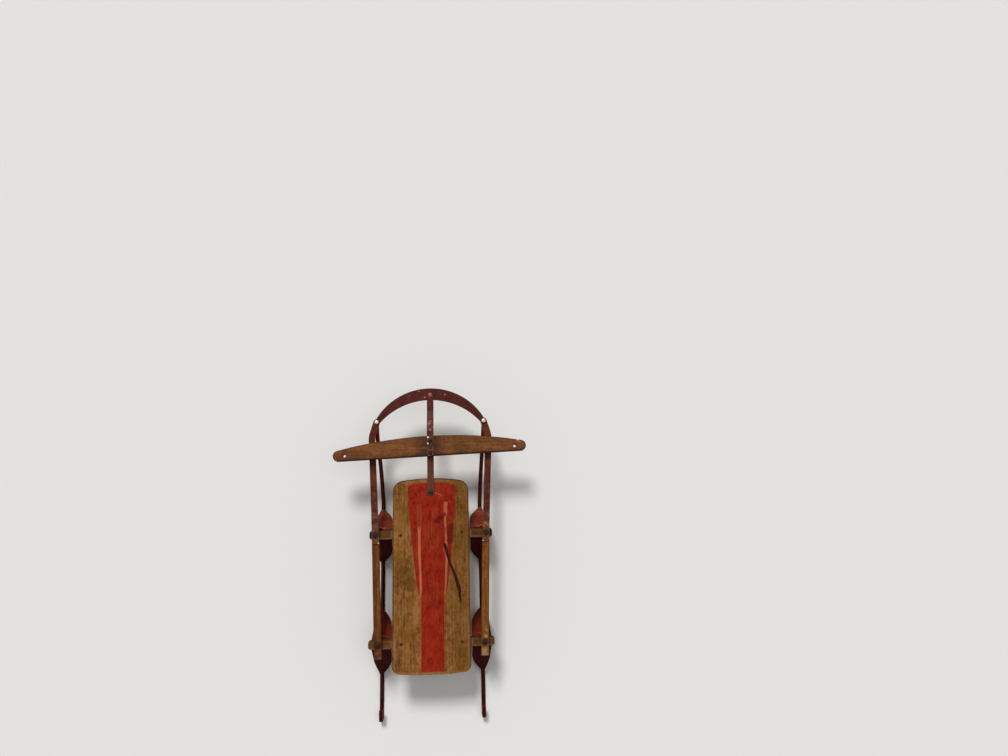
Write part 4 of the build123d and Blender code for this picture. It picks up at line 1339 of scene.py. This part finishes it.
# Each bolt: x, y, heights of its head's and its nut's seat, the nut's turn, and 1 with the nut
# on top or -1 with the head on top
boltSpots = {
    "railFront": (154.0, 44.0, 83.8, 122.6, 3.0, 1), "railRear": (145.29, -248.0, 83.8, 119.0, 25.0, 1),
    "bar": [(0, 268.5, 119.8, 141.8, 12.0, 1), (0, 303.5, 119.8, 141.8, -20.0, 1)],
    "pivot": (0, 159.0, 119.6, 105.0, 18.0, -1),
}


def boltParts(values, low, seat, up):
    # A carriage bolt: domed head, shank, square nut and the thread's end, as (profile, square)
    r, t, p, nut, lip = (values[key] for key in ("shank", "thread", "pitch", "nutHalf", "headLip"))
    turns = [math.pi / 2 * k / 8 for k in range(1, 9)]
    head = [(0, low - up * values["headHigh"])]
    head += [(values["headRadius"] * math.sin(a), low - up * (lip + (values["headHigh"] - lip) * math.cos(a)))
             for a in turns] + [(values["headRadius"], low), (0, low)]
    top = seat + up * values["nutHigh"]
    wide, flat = nut * 1.30, nut * 0.99  # across the corners and the chamfer
    body = [(0, seat), (wide, seat), (wide, top - up * 1.1), (flat, top - up * 0.05), (flat - 0.3, top), (0, top)]
    parts = [(head, None), ([(0, low), (r, low), (r, top), (0, top)], None), (body, nut)]
    if up > 0:
        end, z, tip = [(0, top - 0.5), (r, top - 0.5)], top, top + values["proud"]
        while z < tip - 0.8:
            end += [(t, z), (r - 0.1, z + p * 0.35), (r - 0.1, z + p * 0.5), (t, z + p * 0.8)]
            z += p
        parts.append((end + [(t - 0.2, tip - 0.25), (t - 0.7, tip), (0, tip)], None))
    return parts


def makeBolt(name, body, node, *spots):
    points, faces, edges = [], [], []
    for x, y, low, seat, turn, up in spots:
        for profile, square in boltParts(boltValues, low, seat, up):
            made, rings = latheMesh(profile, boltValues["segments"], square)
            faces += [tuple(len(points) + index for index in face) for face in rings]
            for px, py, pz in made:
                edges.append(min(1.0, math.hypot(px, py) / 6.0) ** 4)
                px, py = turned(px, py, math.radians(turn) if square else 0)
                points.append(Vector((px + x, py + y, pz)) * mm)
    ride(cleanPiece(name, points, faces, edges, darkBolt, 30), body, "bolt_steel", node)


for side, label in sides:
    for end in ("Front", "Rear"):
        x, y, low, seat, turn, up = boltSpots["rail" + end]
        makeBolt("bolt" + end + label, "frame", f"bolt_{end.lower()}_{label.lower()}",
                 (side * x, y, low, seat, side * turn, up))
makeBolt("barBolts", "lever", "bar_bolts", *boltSpots["bar"])
makeBolt("pivotBolt", "frame", "pivot_bolt", boltSpots["pivot"])


def makeHeadTree():
    # Geometry Nodes: a low dome with a closed seat on every point, turned to the point's axis
    hand, given = startGroup("rivetHeads", {
        "Geometry": "Geometry", "Radius": "Float", "Height": "Float", "Segments": "Int", "Rings": "Int",
        "Material": "Material"}, {"Geometry": "Geometry"}, "GeometryNodeTree")
    grid = hand.add("GeometryNodeMeshGrid", {"Vertices X": given["Segments"] + 1, "Vertices Y": given["Rings"] + 2})
    spot = hand.add("ShaderNodeSeparateXYZ", {0: hand.add("GeometryNodeInputPosition")})
    angle = (spot["X"] + 0.5) * (2 * math.pi)
    # The first row is the seat's middle, the second its rim, and the others climb the dome
    row = (spot["Y"] + 0.5) * (given["Rings"] + 1)
    climb = hand.math("DIVIDE", hand.math("MAXIMUM", row - 1.0, 0.0), given["Rings"]) * (math.pi / 2)
    radius = hand.math("COSINE", climb) * given["Radius"] * hand.math("MINIMUM", row, 1.0)
    dome = hand.add("ShaderNodeCombineXYZ", {
        "X": radius * hand.math("COSINE", angle), "Y": radius * hand.math("SINE", angle),
        "Z": hand.math("SINE", climb) * given["Height"]})
    shaped = hand.add("GeometryNodeSetPosition", {"Geometry": grid, "Position": dome})
    merged = hand.add("GeometryNodeMergeByDistance", {"Geometry": shaped, "Distance": 1e-6})
    axis = hand.add("GeometryNodeInputNamedAttribute", {"Name": "axis"}, "Attribute", data_type="FLOAT_VECTOR")
    turn = hand.add("FunctionNodeAlignRotationToVector", {"Vector": axis}, axis="Z")
    placed = hand.add("GeometryNodeInstanceOnPoints", {"Points": given["Geometry"], "Instance": merged,
                                                       "Rotation": turn})
    real = hand.add("GeometryNodeRealizeInstances", {"Geometry": placed})
    dressed = hand.add("GeometryNodeSetMaterial", {"Geometry": real, "Material": given["Material"]})
    hand.add("NodeGroupOutput", {"Geometry": dressed})
    return hand.tree


headTree = makeHeadTree()
up, down = (0, 0, 1), (0, 0, -1)
headValues = {
    "segments": 28, "rings": 10,
    # radius and height of each kind
    "screw": (3.7, 0.9), "foot": (4.6, 1.9), "bright": (6.0, 2.6),
    "deckTop": 115.9, "footX": 142.0, "footOut": 3.75, "footY": (-21.0, 109.0, -324.0, -172.0), "footZ": 13.6,
    "side": (154.0, 362.5), "sideSeat": 119.3, "sideLow": 112.7, "bowY": 439.5, "bowTop": 122.3, "bowLow": 115.7,
    "pinRadius": 3.0,
}


def makeHeads(name, body, slot, kind, spots, material, pins=(), nodes=()):
    # spots are (x, y, z, axis). Pins are shanks (x, y, low, high) below the heads
    mesh = bpy.data.meshes.new(name + "Points")
    mesh.from_pydata([Vector(spot[:3]) * mm for spot in spots], [], [])
    axes = mesh.attributes.new("axis", "FLOAT_VECTOR", "POINT")
    axes.data.foreach_set("vector", [v for spot in spots for v in spot[3]])
    holder = addObject(name + "Holder", mesh)
    modifier = holder.modifiers.new("rivetHeads", "NODES")
    modifier.node_group = headTree
    radius, height = headValues[kind]
    given = {"Radius": radius * mm, "Height": height * mm, "Segments": headValues["segments"],
             "Rings": headValues["rings"], "Material": material}
    for item in headTree.interface.items_tree:
        if item.in_out == "INPUT" and item.name in given:
            modifier[item.identifier] = given[item.name]
    solid = bpy.data.meshes.new_from_object(holder.evaluated_get(bpy.context.evaluated_depsgraph_get()))
    bpy.data.objects.remove(holder)
    solid.name = name
    pin, turns = headValues["pinRadius"], np.linspace(0, 2 * math.pi, 29)[:-1]
    addShells(solid, [[([(x + pin * math.cos(a), y + pin * math.sin(a), z) for a in turns], 0.4) for z in (low, high)]
                      for x, y, low, high in pins], 50)
    solid.attributes["edge"].data.foreach_set("value", [0.4] * len(solid.vertices))
    ride(addObject(name, solid), body, slot, *nodes)


h = headValues
makeHeads("deckScrews", "frame", "bolt_steel", "screw", [(x, y, h["deckTop"], up) for x, y in screwSpots], screwSteel)
makeHeads("footRivets", "frame", "knee_steel", "foot",
          [(side * h["footX"] + cheek * h["footOut"], y, h["footZ"], (cheek, 0, 0))
           for side in (-1, 1) for cheek in (-1, 1) for y in h["footY"]], kneePaint)
for side, label in sides:
    x, y = side * h["side"][0], h["side"][1]
    makeHeads("sideRivet" + label, label.lower() + "_link", "bright_rivet", "bright", [(x, y, h["sideSeat"], up)],
              brightRivet, [(x, y, h["sideLow"], h["sideSeat"] + 0.1)], ["side_rivet_" + label.lower()])
makeHeads("bowRivet", "lever", "bright_rivet", "bright",
          [(0, h["bowY"], h["bowTop"], up), (0, h["bowY"], h["bowLow"], down)], pinkRivet,
          [(0, h["bowY"], h["bowLow"], h["bowTop"])], ["bow_rivet"])
print("bolts, nuts and rivets are made")

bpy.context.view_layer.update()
triangles = sum(len(p.vertices) - 2 for o in bpy.context.scene.objects if o.type == "MESH" and not o.hide_render
                for p in o.data.polygons)
print("triangles", triangles)
